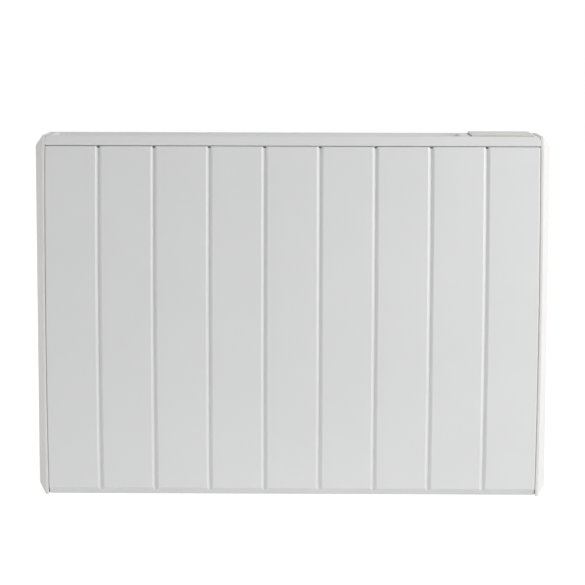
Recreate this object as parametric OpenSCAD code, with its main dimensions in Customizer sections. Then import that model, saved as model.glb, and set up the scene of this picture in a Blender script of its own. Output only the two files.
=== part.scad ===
// Wall-hung electric panel radiator in white powder-coated sheet steel.
// Millimetres. +X to the right as seen from the room, +Y towards the wall, +Z up.
// The origin lies on the wall, at the middle of the wall bracket's four fixing holes.

/* [Body] */
// Width of the folded front panel, between the end caps
panel_w = 714; // [600:1:1000]
// Height of the body
body_h = 528; // [480:1:620]
// Depth of the body along its top, from the front edge to the back sheet
body_d = 95; // [90:1:110]
// Air gap that the bracket keeps between the back sheet and the wall
wall_gap = 15; // [14:0.5:25]
// Thickness of the folded steel sheet
sheet = 1.0; // [0.8:0.1:1.2]
// Inside radius of the bends in the sheet
bend_r = 1.0; // [0.6:0.1:1.5]

/* [Front panel] */
// Width of one flat between two grooves, centre to centre
flat_pitch = 80; // [60:1:120]
// Width of a pressed groove at the face
groove_w = 7; // [6:0.5:12]
// Depth of a pressed groove
groove_depth = 3.5; // [3:0.5:5]
// Depth of the panel's side returns
return_d = 14; // [12:1:20]
// Height of the sloped lip along the bottom edge
lip_h = 11; // [8:1:16]
// Distance that the sloped lip runs back
lip_d = 9; // [6:1:12]
// How far the bowed front stands out at mid-height
front_bow = 15.5; // [8:0.5:18]
// Radius of the panel's and the band's corners, seen from the room
corner_r = 2.5; // [1.5:0.5:3.5]

/* [Top casing] */
// Height of the plain band above the panel
band_h = 14.5; // [14:0.5:24]
// Open joint between the band and the panel
band_gap = 0.6; // [0.5:0.1:3]
// Radius of the casing's two upper corners
casing_corner_r = 4; // [3:0.5:6]
// Distance from the casing's left end to the grille recess
grille_end = 10; // [8:1:30]
// Distance from the grille recess to the lid
grille_to_lid = 13; // [11:1:40]
// Distance from the front edge to the grille recess
grille_front = 8; // [7:0.5:12]
// Distance from the back edge to the grille recess
grille_back = 13; // [11:1:20]
// Depth of the dished grille recess
dish_depth = 4; // [3:0.5:5]
// Run of the dish's sloped sides
dish_slope = 6; // [4:0.5:8]
// Spacing of the grille's blades
blade_pitch = 6.5; // [5:0.5:10]
// Thickness of a grille blade
blade_t = 1.6; // [1.2:0.1:2.4]
// Height of the grille's blades
blade_h = 8; // [6:0.5:12]

/* [End caps] */
// Open joint between the panel and each end cap
cap_gap = 0.5; // [0.5:0.1:3]
// Width of the cap's plain rim, flush with the panel
cap_rim = 4.3; // [2.5:0.1:5]
// Distance that the cap's sloped edge runs in from its rim
cap_bevel = 15; // [12:1:20]
// Distance that the cap stands out past its rim
cap_bulge = 10.5; // [8:0.5:14]
// Wall of the moulded cap
cap_wall = 2.5; // [2:0.1:3]

/* [Controls] */
// Distance from the panel's right edge to the lid
lid_end = 10; // [9:1:30]
// Width of the lid
lid_w = 89; // [86:1:110]
// Distance from the front face to the lid
lid_front = 6; // [6:0.5:8]
// Distance from the back sheet to the lid
lid_back = 10; // [10:0.5:16]
// Height of the closed lid above the casing
lid_proud = 3; // [2.4:0.2:4]
// Thickness of the lid's top
lid_t = 2.7; // [2:0.1:2.7]
// Open joint all round the lid
lid_gap = 1.5; // [1.2:0.1:2]
// Radius of the lid's hinge pins
hinge_pin_r = 1; // [0.8:0.1:1.2]
// Spacing of the five buttons
button_pitch = 16; // [13:0.5:17]
// Radius of a button
button_r = 4.5; // [3.5:0.1:5]
// Travel of a button
button_travel = 1.2; // [0.6:0.1:1.4]
// Width of the display window
window_w = 51; // [40:1:60]
// Depth of the display window, front to back
window_d = 26; // [20:1:28]

/* [Heating] */
// Height of the finned element above the bottom
element_z = 75; // [60:1:140]
// Length of a fin from the element's centre
fin_len = 26; // [20:1:30]
// Thickness of a fin
fin_t = 2; // [1.5:0.1:3]
// Radius of the sheathed heating rod
rod_r = 3.25; // [3:0.05:4]
// Radius of the ceramic end bushes
bush_r = 8; // [7:0.5:10]

/* [Wall bracket] */
// Distance between the fixing holes, left to right
fix_x = 360; // [260:1:420]
// Distance between the fixing holes, up and down
fix_z = 300; // [260:1:340]
// Radius of a fixing hole
fix_r = 3.0; // [2.5:0.1:4]
// Width of the bracket's rails and cross bars
rail_w = 40; // [36:1:50]
// Thickness of the bracket's steel
bracket_t = 1.5; // [1.2:0.1:2]
// Height of the hooks that carry the body, above and below the middle
hook_z = 105; // [90:1:110]
// Depth of the latch pivots below the top of the body
latch_drop = 40; // [38:1:60]
// Radius of the latch pivot pins
latch_pin_r = 2; // [1.5:0.1:2.2]

/* [Cord inlet] */
// Radius of the gland's bore for the supply cord
gland_r = 4; // [3:0.1:5]
// Distance from the panel's right edge to the gland
gland_end = 57; // [40:1:70]

/* [Hidden] */
$fn = 48;

// Clearances that several pieces share
seat_gap = 0.3;                     // between neighbouring pieces that do not touch
pin_clearance = 0.05;               // radial clearance of a turning pin in its bore
screw_clearance = 0.2;              // radial clearance round a screw's shank

// The body's planes
x_panel = panel_w / 2;
y_back = -wall_gap;
y_front = y_back - body_d;
z_top = body_h / 2;
z_bottom = -body_h / 2;
z_band = z_top - band_h;
z_panel = z_band - band_gap;
z_lip = z_bottom + lip_h;
x_web = x_panel - sheet - seat_gap; // outer face of a side frame's web
y_sheet = y_back - sheet;           // inner face of the back sheet
top_flange_d = 12;                  // depth of the panel's upper flange
bottom_flange_d = 14;               // depth of the panel's lower flange
y_panel_foot = y_front + lip_d + bottom_flange_d;
band_return_d = 8;                  // depth of the band's lower return
rear_flange_d = 15;                 // depth of the rear casing's side flanges
rear_foot_d = 12;                   // depth of the rear casing's lower flange
flange_room = 1;                    // between the panel's upper flange and what stands behind it

// The front is bowed about a level axis, through the body's front edges at top and bottom
bow_r = (z_top * z_top + front_bow * front_bow) / (2 * front_bow);
bow_y = y_front - front_bow + bow_r;
bow_fn = 1440;                      // steps of the bow's full circle
function face_y(z) = bow_y - sqrt(bow_r * bow_r - z * z);

// The lid, its pocket in the fascia and the fascia's levels
lid_x1 = x_panel - lid_end;
lid_x0 = lid_x1 - lid_w;
lid_y0 = y_front + lid_front;
lid_y1 = y_back - lid_back;
lid_z1 = z_top + lid_proud;
lid_z0 = lid_z1 - lid_t;
lid_rear_clear = 4;                 // room behind the lid for its rear edge to swing
pocket_x0 = lid_x0 - lid_gap;
pocket_x1 = lid_x1 + lid_gap;
pocket_y0 = lid_y0 - lid_gap;
pocket_y1 = lid_y1 + lid_rear_clear;
fascia_wall = 2.2;
fascia_floor = 2;
pocket_depth = 6;
fascia_z1 = z_top - sheet;
pocket_z = fascia_z1 - pocket_depth;
fascia_z0 = pocket_z - fascia_floor;
hinge_inset = 3;                    // hinge axis in front of the lid's back edge
hinge_drop = 3;                     // hinge axis below the lid's underside
hinge_y = lid_y1 - hinge_inset;
hinge_z = lid_z0 - hinge_drop;
knuckle_wall = 1.6;
knuckle_r = hinge_pin_r + knuckle_wall;
ear_w = 3.5;
knuckle_w = 6;
skirt_t = 1.5;
skirt_h = 5;

// The control box under the fascia
housing_wall = 1.6;
housing_h = 22;
board_t = 1.6;
housing_x0 = pocket_x0;
housing_x1 = pocket_x1;
housing_y0 = y_front + top_flange_d + flange_room;
housing_y1 = pocket_y1;
board_drop = 6.4;                   // upper face of the control board below the fascia
board_z1 = fascia_z0 - board_drop;
button_row = 18;                    // from the lid's front edge to the row of buttons
window_row = 25;                    // from the buttons to the window's middle
button_y = lid_y0 + button_row;
window_y = button_y + window_row;
control_x = (lid_x0 + lid_x1) / 2;
button_proud = 2.5;
button_top = pocket_z + button_proud;
button_flange_t = 1;
stem_len = 0.5;
flange_gap = 0.1;                   // between a button's flange and the floor above it
button_flange_z1 = fascia_z0 - flange_gap;
stem_z0 = button_flange_z1 - button_flange_t - stem_len;
tact_gap = 0.1;                     // left between a pressed button and its switch
tact_top = stem_z0 - button_travel - tact_gap;

// The heating element
partition_to_lid = 10;
partition_x = lid_x0 - partition_to_lid;
terminal_reach = 12;                // from the partition to the element's end piece
terminal_x = partition_x + terminal_reach;
element_y = (y_front + y_back) / 2;
element_height = z_bottom + element_z;
bracket_end = 32;                   // from the panel's left edge to the element bracket
bracket_x = -x_panel + bracket_end;
bracket_sheet = 1.5;
fins_end = 10;                      // from either bearing to the fins
fins_x0 = bracket_x + fins_end;
fins_x1 = partition_x - fins_end;
shield_t = 0.5;
shield_gap = 16;                    // from the back sheet to the shield
shield_y = y_sheet - shield_gap;
shield_foot = 12;
shield_low = 20;                    // from the bottom to the shield's lower foot
shield_h = 300;
shield_left = 14;                   // from the element bracket to the shield
shield_right = 2;                   // from the shield to the partition
shield_z0 = z_bottom + shield_low;
shield_z1 = shield_z0 + shield_h;

// The wall bracket
rail_x = fix_x / 2;
bar_z = fix_z / 2;
latch_z = z_top - latch_drop;
rail_above = 22;                    // rail's upper end above the latch pivots
rail_below = 50;                    // rail's lower end below the lower fixing holes
rail_z1 = latch_z + rail_above;
rail_z0 = -bar_z - rail_below;
hook_w = 22;
hook_rise = 10;
hook_reach = 2.8;                   // from the back sheet's outer face to the hook's lip
latch_w = 14;
latch_back = 7;                     // from the back sheet to the latch pivots
latch_y = y_back + latch_back;
latch_eye_wall = 2.5;
latch_eye_r = latch_pin_r + latch_eye_wall;
latch_ear_gap = 0.5;                // between a latch and its ears
latch_arm = 20;
latch_arm_t = 2.5;
nose_z0 = 11;                       // underside of the latch's nose above its pivot
nose_z1 = 15;
nose_reach = 3.5;                   // from the back sheet's outer face to the nose's tip
slot_clear = 3;                     // room round a hook or nose in its slot

// Screws
screw_r = 1.7;
screw_head_r = 3.6;
screw_head_h = 2;
screw_reach = 3;                    // shank past the side frame's web
boss_r = 4.5;
cap_screw_reach = 6;                // thread inside the cap's boss
cap_bore_extra = 2;                 // bore of the boss past the screw's tip
flange_screw_inset = 8;             // screws through the panel's and the back sheet's flanges
flange_screw_end = 65;              // from the body's end to the outermost of them
casing_screw_inset = 25;
casing_screw_drop = 9;
cap_screw_inset = 23;
cap_screw_end = 75;

front_screw_y = y_front + flange_screw_inset;
rear_screw_y = y_back - flange_screw_inset;
side_screw_z = [for (k = [-1 : 1]) k * (z_top - flange_screw_end)];
casing_screw_y = [y_front + casing_screw_inset, y_back - casing_screw_inset];
casing_screw_z = z_top - casing_screw_drop;
cap_screw_y = [y_front + cap_screw_inset, y_back - cap_screw_inset];
cap_screw_z = [-(z_top - cap_screw_end), z_top - cap_screw_end];

function unit(v) = v / norm(v);

// Arc of radius r that rounds the corner p between the points a and b
function corner_arc(a, p, b, r, steps = 5) =
    let (
        u = unit(a - p),
        v = unit(b - p),
        half = acos(u * v) / 2,
        centre = p + unit(u + v) * (r / sin(half)),
        start = p + u * (r / tan(half)) - centre,
        first = atan2(start.y, start.x),
        turn = (cross(u, v) < 0 ? 1 : -1) * (180 - 2 * half)
    )
    [for (k = [0 : steps]) centre + r * [cos(first + turn * k / steps), sin(first + turn * k / steps)]];

// Closed outline with each corner rounded to its own radius, 0 for a sharp one
function rounded(points, radii) =
    let (n = len(points))
    [for (i = [0 : n - 1])
        each radii[i] <= 0 ? [points[i]]
            : corner_arc(points[(i + n - 1) % n], points[i], points[(i + 1) % n], radii[i])];

// Open path moved sideways to its left by t, with mitred corners
function beside(path, t) =
    let (last = len(path) - 1)
    [for (i = [0 : last])
        let (
            before = unit(path[max(i, 1)] - path[max(i, 1) - 1]),
            after = unit(path[min(i, last - 1) + 1] - path[min(i, last - 1)]),
            n0 = [-before.y, before.x],
            n1 = [-after.y, after.x]
        )
        path[i] + t * (n0 + n1) / (1 + n0 * n1)];

// Bend radii along one face of a folded sheet: the wide side of a bend has the sheet's thickness more
function bend_radii(path, wide_left, t, r) =
    [for (i = [0 : len(path) - 1])
        i == 0 || i == len(path) - 1 ? 0
            : (cross(path[i] - path[i - 1], path[i + 1] - path[i]) < 0) == wide_left ? r + t : r];

function reversed(path) = [for (i = [len(path) - 1 : -1 : 0]) path[i]];

// Outline of a folded sheet whose right-hand face follows the path
function folded(path, t, r) =
    concat(
        rounded(path, bend_radii(path, false, t, r)),
        reversed(rounded(beside(path, t), bend_radii(path, true, t, r)))
    );

module block(low, high) {
    translate(low) cube(high - low);
}

// Extrudes an outline drawn in Y and Z from x0 to x1
module along_x(x0, x1) {
    translate([x0, 0, 0]) rotate([90, 0, 90]) linear_extrude(x1 - x0) children();
}

// Extrudes an outline drawn in X and Z from y0 to y1
module along_y(y0, y1) {
    translate([0, y1, 0]) rotate([90, 0, 0]) linear_extrude(y1 - y0) children();
}

module rod_x(x0, x1, y, z, r) {
    translate([x0, y, z]) rotate([0, 90, 0]) cylinder(h = x1 - x0, r = r);
}

module rod_y(y0, y1, x, z, r) {
    translate([x, y0, z]) rotate([-90, 0, 0]) cylinder(h = y1 - y0, r = r);
}

module rod_z(z0, z1, x, y, r) {
    translate([x, y, z0]) cylinder(h = z1 - z0, r = r);
}

module mirrored() {
    children();
    mirror([1, 0, 0]) children();
}

// Clearance hole for a side screw
module screw_hole(x0, x1, y, z) {
    rod_x(x0 - 1, x1 + 1, y, z, screw_r + screw_clearance);
}

// Pan-head screw along X, with its head outside x
module side_screw(x, tip, y, z) {
    rod_x(x, x + screw_head_h, y, z, screw_head_r);
    rod_x(tip, x + screw_head_h / 2, y, z, screw_r);
}

// Box whose four sides slope in by the inset towards its lower end
module dish(x0, x1, y0, y1, z0, z1, inset) {
    intersection() {
        along_y(y0, y1) polygon([[x0 + inset, z0], [x1 - inset, z0], [x1, z1], [x0, z1]]);
        along_x(x0, x1) polygon([[y0 + inset, z0], [y1 - inset, z0], [y1, z1], [y0, z1]]);
    }
}

// Front panel: one bowed sheet with pressed grooves, side returns, an upper flange and a sloped lip.
// A relief notch frees the upper fold where each groove runs into it.
notch_w = 4;
notch_h = 2.5;                      // below the panel's top
notch_d = 5;                        // behind the front edge
groove_count = round(panel_w / flat_pitch) - 1;
groove_x = [for (i = [0 : groove_count - 1]) (i - (groove_count - 1) / 2) * flat_pitch];
panel_plan = concat(
    [[-x_panel, y_panel_foot + front_bow], [-x_panel, y_front]],
    [for (x = groove_x)
        each [[x - groove_w / 2, y_front], [x, y_front + groove_depth], [x + groove_w / 2, y_front]]],
    [[x_panel, y_front], [x_panel, y_panel_foot + front_bow]]
);
panel_side = [
    [y_panel_foot, z_panel], [face_y(z_panel), z_panel],
    [y_front - 3 * front_bow, 0],       // well clear of the bow
    [face_y(z_lip), z_lip], [y_front + lip_d, z_bottom], [y_panel_foot, z_bottom]
];

// Sweeps an outline drawn in X and Y, with its front at y_front, along the bow
module along_bow(outline) {
    sweep = 2 * asin((z_top + 5) / (bow_r - body_d));
    translate([0, bow_y, 0]) rotate([0, 90, 0]) rotate(-90 - sweep / 2)
        rotate_extrude(angle = sweep, $fn = bow_fn) polygon([for (p = outline) [bow_r + y_front - p.y, p.x]]);
}

module panel_block(t) {
    plan = beside(panel_plan, t);
    side = beside(panel_side, t);
    intersection() {
        along_bow(rounded(plan, bend_radii(panel_plan, t > 0, sheet, bend_r)));
        along_x(-x_panel, x_panel)
            polygon(rounded(side, bend_radii(panel_side, t > 0, sheet, bend_r)));
    }
}

module front_panel() {
    color("whitesmoke") difference() {
        intersection() {
            panel_block(0);
            along_y(y_front - 2 * front_bow, y_panel_foot) polygon(rounded(
                [[-x_panel, z_bottom], [x_panel, z_bottom], [x_panel, z_panel], [-x_panel, z_panel]],
                [corner_r, corner_r, corner_r, corner_r]
            ));
        }
        panel_block(sheet);
        block([-x_panel - 1, y_front + return_d, z_bottom + sheet], [x_panel + 1, y_back, z_panel - sheet]);
        block([-x_panel - 1, y_front + top_flange_d, z_panel - 2 * sheet], [x_panel + 1, y_back, z_top]);
        for (x = groove_x) block(
            [x - notch_w / 2, y_front - front_bow, z_panel - notch_h],
            [x + notch_w / 2, y_front + notch_d, z_top]
        );
        mirrored() for (z = side_screw_z) screw_hole(x_panel - sheet, x_panel, front_screw_y, z);
    }
}

// Top casing: a folded lid of sheet with a plain front band, closed ends and a short rear flange
casing_y1 = y_sheet - seat_gap;
casing_side = [
    [casing_y1, z_band], [casing_y1, z_top], [y_front, z_top], [face_y(z_band), z_band],
    [y_front + band_return_d, z_band]
];
grille_x0 = -x_panel + grille_end;
grille_x1 = lid_x0 - grille_to_lid;
grille_y0 = y_front + grille_front;
grille_y1 = y_back - grille_back;
grille_lip = 3;
grille_z1 = z_top - dish_depth - sheet; // underside of the recess's flat lip

module casing_block(t) {
    intersection() {
        along_x(-x_panel, x_panel)
            polygon(rounded(beside(casing_side, t), bend_radii(casing_side, t > 0, sheet, bend_r)));
        along_y(y_front - front_bow, y_back) polygon(rounded(
            [
                [-x_panel + t, z_band - t], [x_panel - t, z_band - t],
                [x_panel - t, z_top], [-x_panel + t, z_top]
            ],
            [t > 0 ? 0 : corner_r, t > 0 ? 0 : corner_r, casing_corner_r - t, casing_corner_r - t]
        ));
    }
}

module grille_block(grow, z0, z1) {
    block([grille_x0 - grow, grille_y0 - grow, z0], [grille_x1 + grow, grille_y1 + grow, z1]);
}

module top_casing() {
    wall = sheet * norm([dish_slope, dish_depth]) / dish_depth;
    color("whitesmoke") difference() {
        union() {
            difference() {
                casing_block(0);
                casing_block(sheet);
                block([-x_panel + sheet, y_front + band_return_d, z_band - 1],
                    [x_panel - sheet, casing_y1 - sheet, z_band + 2 * sheet]);
                grille_block(0, z_top - 2 * sheet, z_top + 1);
            }
            dish(grille_x0 - wall, grille_x1 + wall, grille_y0 - wall, grille_y1 + wall,
                z_top - dish_depth, z_top, dish_slope);
            grille_block(wall - dish_slope, grille_z1, z_top - dish_depth + sheet / 2);
        }
        dish(grille_x0, grille_x1, grille_y0, grille_y1, z_top - dish_depth, z_top, dish_slope);
        grille_block(-dish_slope - grille_lip, grille_z1 - 1, z_top);
        block([pocket_x0, pocket_y0, z_top - 2 * sheet], [pocket_x1, pocket_y1, z_top + 1]);
        mirrored() for (y = casing_screw_y) screw_hole(x_panel - sheet, x_panel, y, casing_screw_z);
    }
}

// Outlet grille: a flanged frame of lengthwise blades, held up under the recess's lip
module outlet_grille() {
    flange_t = 1.5;
    edge = dish_slope + grille_lip;
    frame_t = 2;
    root = frame_t / 2;                 // run of a blade or a rib into the frame
    rib_pitch = 60;
    rib_t = 2;
    rib_drop = 2;                       // ribs end below the blades' upper edges
    inner_x0 = grille_x0 + edge + frame_t;
    inner_x1 = grille_x1 - edge - frame_t;
    inner_y0 = grille_y0 + edge + frame_t;
    inner_y1 = grille_y1 - edge - frame_t;
    blade_count = round((inner_y1 - inner_y0) / blade_pitch);
    rib_count = floor((inner_x1 - inner_x0) / rib_pitch);
    color("white") {
        difference() {
            union() {
                grille_block(-edge, grille_z1 - blade_h, grille_z1);
                grille_block(-dish_slope, grille_z1 - flange_t, grille_z1);
            }
            block([inner_x0, inner_y0, grille_z1 - blade_h - 1], [inner_x1, inner_y1, z_top]);
        }
        for (k = [1 : blade_count - 1]) {
            y = (inner_y0 + inner_y1) / 2 + (k - blade_count / 2) * blade_pitch;
            block([inner_x0 - root, y - blade_t / 2, grille_z1 - blade_h],
                [inner_x1 + root, y + blade_t / 2, grille_z1]);
        }
        for (k = [1 : rib_count - 1]) {
            x = inner_x0 + k * (inner_x1 - inner_x0) / rib_count;
            block([x - rib_t / 2, inner_y0 - root, grille_z1 - blade_h],
                [x + rib_t / 2, inner_y1 + root, grille_z1 - rib_drop]);
        }
    }
}

// Rear casing: the back sheet with its side flanges, lower foot, hook slots and latch slots
rear_z1 = z_top - seat_gap;
rear_plan = [
    [x_panel, y_back - rear_flange_d], [x_panel, y_back], [-x_panel, y_back],
    [-x_panel, y_back - rear_flange_d]
];

module rear_casing() {
    color("whitesmoke") difference() {
        translate([0, 0, z_bottom]) linear_extrude(rear_z1 - z_bottom)
            polygon(rounded(rear_plan, bend_radii(rear_plan, false, sheet, bend_r)));
        translate([0, 0, z_bottom + sheet]) linear_extrude(body_h)
            polygon(rounded(beside(rear_plan, sheet), bend_radii(rear_plan, true, sheet, bend_r)));
        block([-x_panel - 1, y_front, z_bottom - 1], [x_panel + 1, y_back - rear_flange_d, z_top]);
        block([-x_panel - 1, y_front, z_bottom - 1], [x_panel + 1, y_back - rear_foot_d, z_bottom + sheet]);
        block([-x_panel - 1, y_front, z_band - 1], [x_panel + 1, y_sheet, z_top]);
        mirrored() {
            for (side = [-1, 1]) block(
                [rail_x - hook_w / 2 - slot_clear, y_back - 2 * sheet,
                    side * hook_z - bracket_t - hook_rise - slot_clear],
                [rail_x + hook_w / 2 + slot_clear, y_back + 1, side * hook_z]
            );
            block(
                [rail_x - latch_w / 2 - slot_clear, y_back - 2 * sheet, latch_z + nose_z0 - slot_clear],
                [rail_x + latch_w / 2 + slot_clear, y_back + 1, latch_z + nose_z1 + slot_clear]
            );
            for (z = side_screw_z) screw_hole(x_panel - sheet, x_panel, rear_screw_y, z);
        }
    }
}

// Inlet grille: the slotted bottom plate that rests on the panel's and the back sheet's feet
slot_l = 40;
slot_w = 5;
slot_pitch_x = 46;
slot_pitch_y = 11;
plate_overlap = 5;
plate_z0 = z_bottom + sheet;
plate_z1 = plate_z0 + sheet;
slot_margin = 10;                   // left free at each end of the slots' field
gland_x = x_panel - gland_end;
gland_wall = 4;
gland_shoulder = 3;
gland_body_r = gland_r + gland_wall;
gland_collar_r = gland_body_r + gland_shoulder;
gland_collar_h = 4;
gland_h = 22;

module inlet_grille() {
    y0 = y_panel_foot - plate_overlap;
    y1 = y_back - rear_foot_d + plate_overlap;
    columns = floor((partition_x + x_web - 2 * slot_margin) / slot_pitch_x);
    rows = floor((y1 - y0 - 4 * plate_overlap) / slot_pitch_y) + 1;
    centre_x = (partition_x - x_web) / 2;
    color("gainsboro") difference() {
        block([-x_web, y0, plate_z0], [x_web, y1, plate_z1]);
        for (i = [0 : columns - 1], j = [0 : rows - 1]) {
            x = centre_x + (i - (columns - 1) / 2) * slot_pitch_x;
            y = (y0 + y1) / 2 + (j - (rows - 1) / 2) * slot_pitch_y;
            translate([x, y, plate_z0 + sheet / 2]) cube([slot_l, slot_w, 3 * sheet], center = true);
        }
        rod_z(plate_z0 - 1, plate_z1 + 1, gland_x, element_y, gland_body_r + screw_clearance);
    }
}

// End caps: moulded trays with a plain rim and sloped edges all round, on bosses against the side frames
cap_x0 = x_panel + cap_gap;
cap_x1 = cap_x0 + cap_rim;
cap_x2 = cap_x1 + cap_bulge;
cap_edge_r = 1;
cap_crease_r = 2;
cap_corner_r = 3;

// Outline across the cap: low and high are its two edges, t its inset for the hollow
function cap_outline(low, high, t) =
    let (
        slope = norm([cap_bevel, cap_bulge]),
        along = t * (slope - cap_bulge) / cap_bevel, // where the inset slope meets the inset rim
        flat = t * (slope - cap_bevel) / cap_bulge   // where the inset slope meets the inset top
    )
    rounded(
        [
            [cap_x0 - (t > 0 ? 1 : 0), low + t], [cap_x1 - along, low + t],
            [cap_x2 - t, low + cap_bevel + flat], [cap_x2 - t, high - cap_bevel - flat],
            [cap_x1 - along, high - t], [cap_x0 - (t > 0 ? 1 : 0), high - t]
        ],
        [0, cap_edge_r, cap_crease_r, cap_crease_r, cap_edge_r, 0]
    );

// Bowed in front, straight at the back, top and bottom
module cap_block(t) {
    intersection() {
        along_bow(cap_outline(y_front, y_back + body_d, t));
        translate([0, 0, z_bottom]) linear_extrude(body_h)
            polygon(cap_outline(y_front - body_d, y_back, t));
        along_y(y_front - 2 * front_bow, y_back) polygon(cap_outline(z_bottom, z_top, t));
    }
}

module cap() {
    color("white") {
        difference() {
            intersection() {
                cap_block(0);
                along_x(cap_x0, cap_x2) polygon(rounded(
                    [
                        [y_front, z_bottom], [y_back, z_bottom], [y_back, z_top], [y_front, z_top],
                        [y_front - 3 * front_bow, 0]
                    ],
                    [cap_corner_r, cap_corner_r, cap_corner_r, cap_corner_r, 0]
                ));
            }
            cap_block(cap_wall);
        }
        for (y = cap_screw_y, z = cap_screw_z) difference() {
            rod_x(x_web, cap_x2 - cap_wall / 2, y, z, boss_r);
            rod_x(x_web - 1, x_web + cap_screw_reach + cap_bore_extra, y, z, screw_r);
        }
    }
}

module right_end_cap() { cap(); }
module left_end_cap() { mirror([1, 0, 0]) cap(); }

// Side frames: folded channels that carry the panel, casings and caps at each end
frame_flange = 15;
frame_inset = 3;                    // side frames end short of the body's top and bottom
frame_notch = 2;                    // room round the panel's sloped lip
frame_z0 = z_bottom + frame_inset;
frame_z1 = z_top - frame_inset;

module side_frame() {
    plan = [
        [x_web - frame_flange, y_front + sheet], [x_web, y_front + sheet],
        [x_web, y_sheet], [x_web - frame_flange, y_sheet]
    ];
    color("silver") difference() {
        translate([0, 0, frame_z0]) linear_extrude(frame_z1 - frame_z0) polygon(folded(plan, sheet, bend_r));
        block([0, y_front, z_panel - sheet - 1], [x_panel, y_front + top_flange_d + flange_room, z_top]);
        block([0, y_sheet - 2 * seat_gap - sheet - bend_r, z_band - 1], [x_panel, y_back, z_top]);
        block([0, y_front, z_bottom],
            [x_panel, y_front + lip_d + frame_notch, z_bottom + lip_h + frame_inset]);
        for (y = [front_screw_y, rear_screw_y], z = side_screw_z)
            rod_x(x_web - 2 * sheet, x_web + 1, y, z, screw_r);
        for (y = casing_screw_y) rod_x(x_web - 2 * sheet, x_web + 1, y, casing_screw_z, screw_r);
        for (y = cap_screw_y, z = cap_screw_z) screw_hole(x_web - sheet, x_web, y, z);
    }
}

module right_side_frame() { side_frame(); }
module left_side_frame() { mirror([1, 0, 0]) side_frame(); }

// Partition between the hot side and the electrics, with the element's right-hand bearing
module partition() {
    foot = 12;
    housing_room = 4;
    wire_hole_r = 5;
    wire_hole_inset = 25;
    plan = [[partition_x + foot, y_sheet], [partition_x, y_sheet], [partition_x, y_front + return_d]];
    color("silver") difference() {
        translate([0, 0, plate_z1]) linear_extrude(housing_z0 - housing_room - plate_z1)
            polygon(folded(plan, sheet, bend_r));
        rod_x(partition_x - 1, partition_x + sheet + 1, element_y, element_height, bush_r);
        for (z = [block_z + block_h / 2, power_z + power_h / 4])
            rod_x(partition_x - 1, partition_x + sheet + 1, y_back - wire_hole_inset, z, wire_hole_r);
    }
}

// Screws along the ends, hidden under the caps
module casing_screws() {
    tip = x_web - sheet - screw_reach;
    color("lightgray") mirrored() {
        for (y = [front_screw_y, rear_screw_y], z = side_screw_z) side_screw(x_panel, tip, y, z);
        for (y = casing_screw_y) side_screw(x_panel, tip, y, casing_screw_z);
    }
}

// Screws that hold the caps from inside the side frames
module end_cap_screws() {
    color("lightgray") mirrored() for (y = cap_screw_y, z = cap_screw_z) {
        rod_x(x_web - sheet - screw_head_h, x_web - sheet, y, z, screw_head_r);
        rod_x(x_web - sheet - screw_head_h / 2, x_web + cap_screw_reach, y, z, screw_r);
    }
}

// Heat shield: a thin hat-shaped sheet between the element and the back sheet
module heat_shield() {
    side = [
        [y_sheet, shield_z0 - shield_foot], [y_sheet, shield_z0], [shield_y, shield_z0],
        [shield_y, shield_z1], [y_sheet, shield_z1], [y_sheet, shield_z1 + shield_foot]
    ];
    color("silver") along_x(bracket_x + shield_left, partition_x - shield_right)
        polygon(folded(side, shield_t, bend_r));
}

// Convector: an extruded aluminium tube with four long and four short fins
module convector_fins() {
    tube_wall = 2.5;
    tube_r = rod_r + tube_wall;
    fin_angle = 38;                     // of the long fins from level
    color("lightgray") along_x(fins_x0, fins_x1) translate([element_y, element_height]) difference() {
        union() {
            circle(tube_r);
            for (a = [0 : 90 : 270]) {
                rotate(a + fin_angle) translate([0, -fin_t / 2]) square([fin_len, fin_t]);
                rotate(a) translate([0, -fin_t / 2]) square([fin_len / 2, fin_t]);
            }
        }
        circle(rod_r);
    }
}

// Sheathed heating rod inside the convector, closed at its left end
module heating_rod() {
    left_reach = 6;
    color("dimgray") rod_x(bracket_x - left_reach, terminal_x, element_y, element_height, rod_r);
}

// Ceramic bushes that carry the rod in the bracket and in the partition
module bush(x, t) {
    collar = 2;
    reach = 3;                          // past either face of the sheet
    difference() {
        union() {
            rod_x(x - reach, x + t + reach, element_y, element_height, bush_r);
            rod_x(x + t, x + t + reach, element_y, element_height, bush_r + collar);
        }
        rod_x(x - reach - 1, x + t + reach + 1, element_y, element_height, rod_r);
    }
}

module element_bushes() {
    color("linen") {
        bush(bracket_x, bracket_sheet);
        bush(partition_x, sheet);
    }
}

// Two flat pins on an insulating end piece
pin_offset = 1.8;
pin_l = 10;

module element_terminals() {
    pin_t = 0.8;
    pin_h = 3;
    color("goldenrod") for (side = [-1, 1])
        block([terminal_x, element_y + side * pin_offset - pin_t / 2, element_height - pin_h / 2],
            [terminal_x + pin_l, element_y + side * pin_offset + pin_t / 2, element_height + pin_h / 2]);
}

// Bracket that holds the element's left end off the back sheet
module element_bracket() {
    foot = 12;
    height = 44;
    front_reach = 16;                   // past the element's axis
    plan = [[bracket_x + foot, y_sheet], [bracket_x, y_sheet], [bracket_x, element_y - front_reach]];
    color("silver") difference() {
        translate([0, 0, element_height - height / 2]) linear_extrude(height)
            polygon(folded(plan, bracket_sheet, bend_r));
        rod_x(bracket_x - 1, bracket_x + bracket_sheet + 1, element_y, element_height, bush_r);
    }
}

// Thermal cut-out on its bracket, above the element
cutout_end = 100;                   // from the cut-out to the partition
cutout_rise = 60;                   // from the element up to its bracket
cutout_out = 13;                    // from the shield to the cut-out's axis
cutout_cup_r = 5.5;
cutout_x = partition_x - cutout_end;
cutout_z = element_height + cutout_rise;
cutout_y = shield_y - cutout_out;
cutout_seat = cutout_z + sheet;

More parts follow.
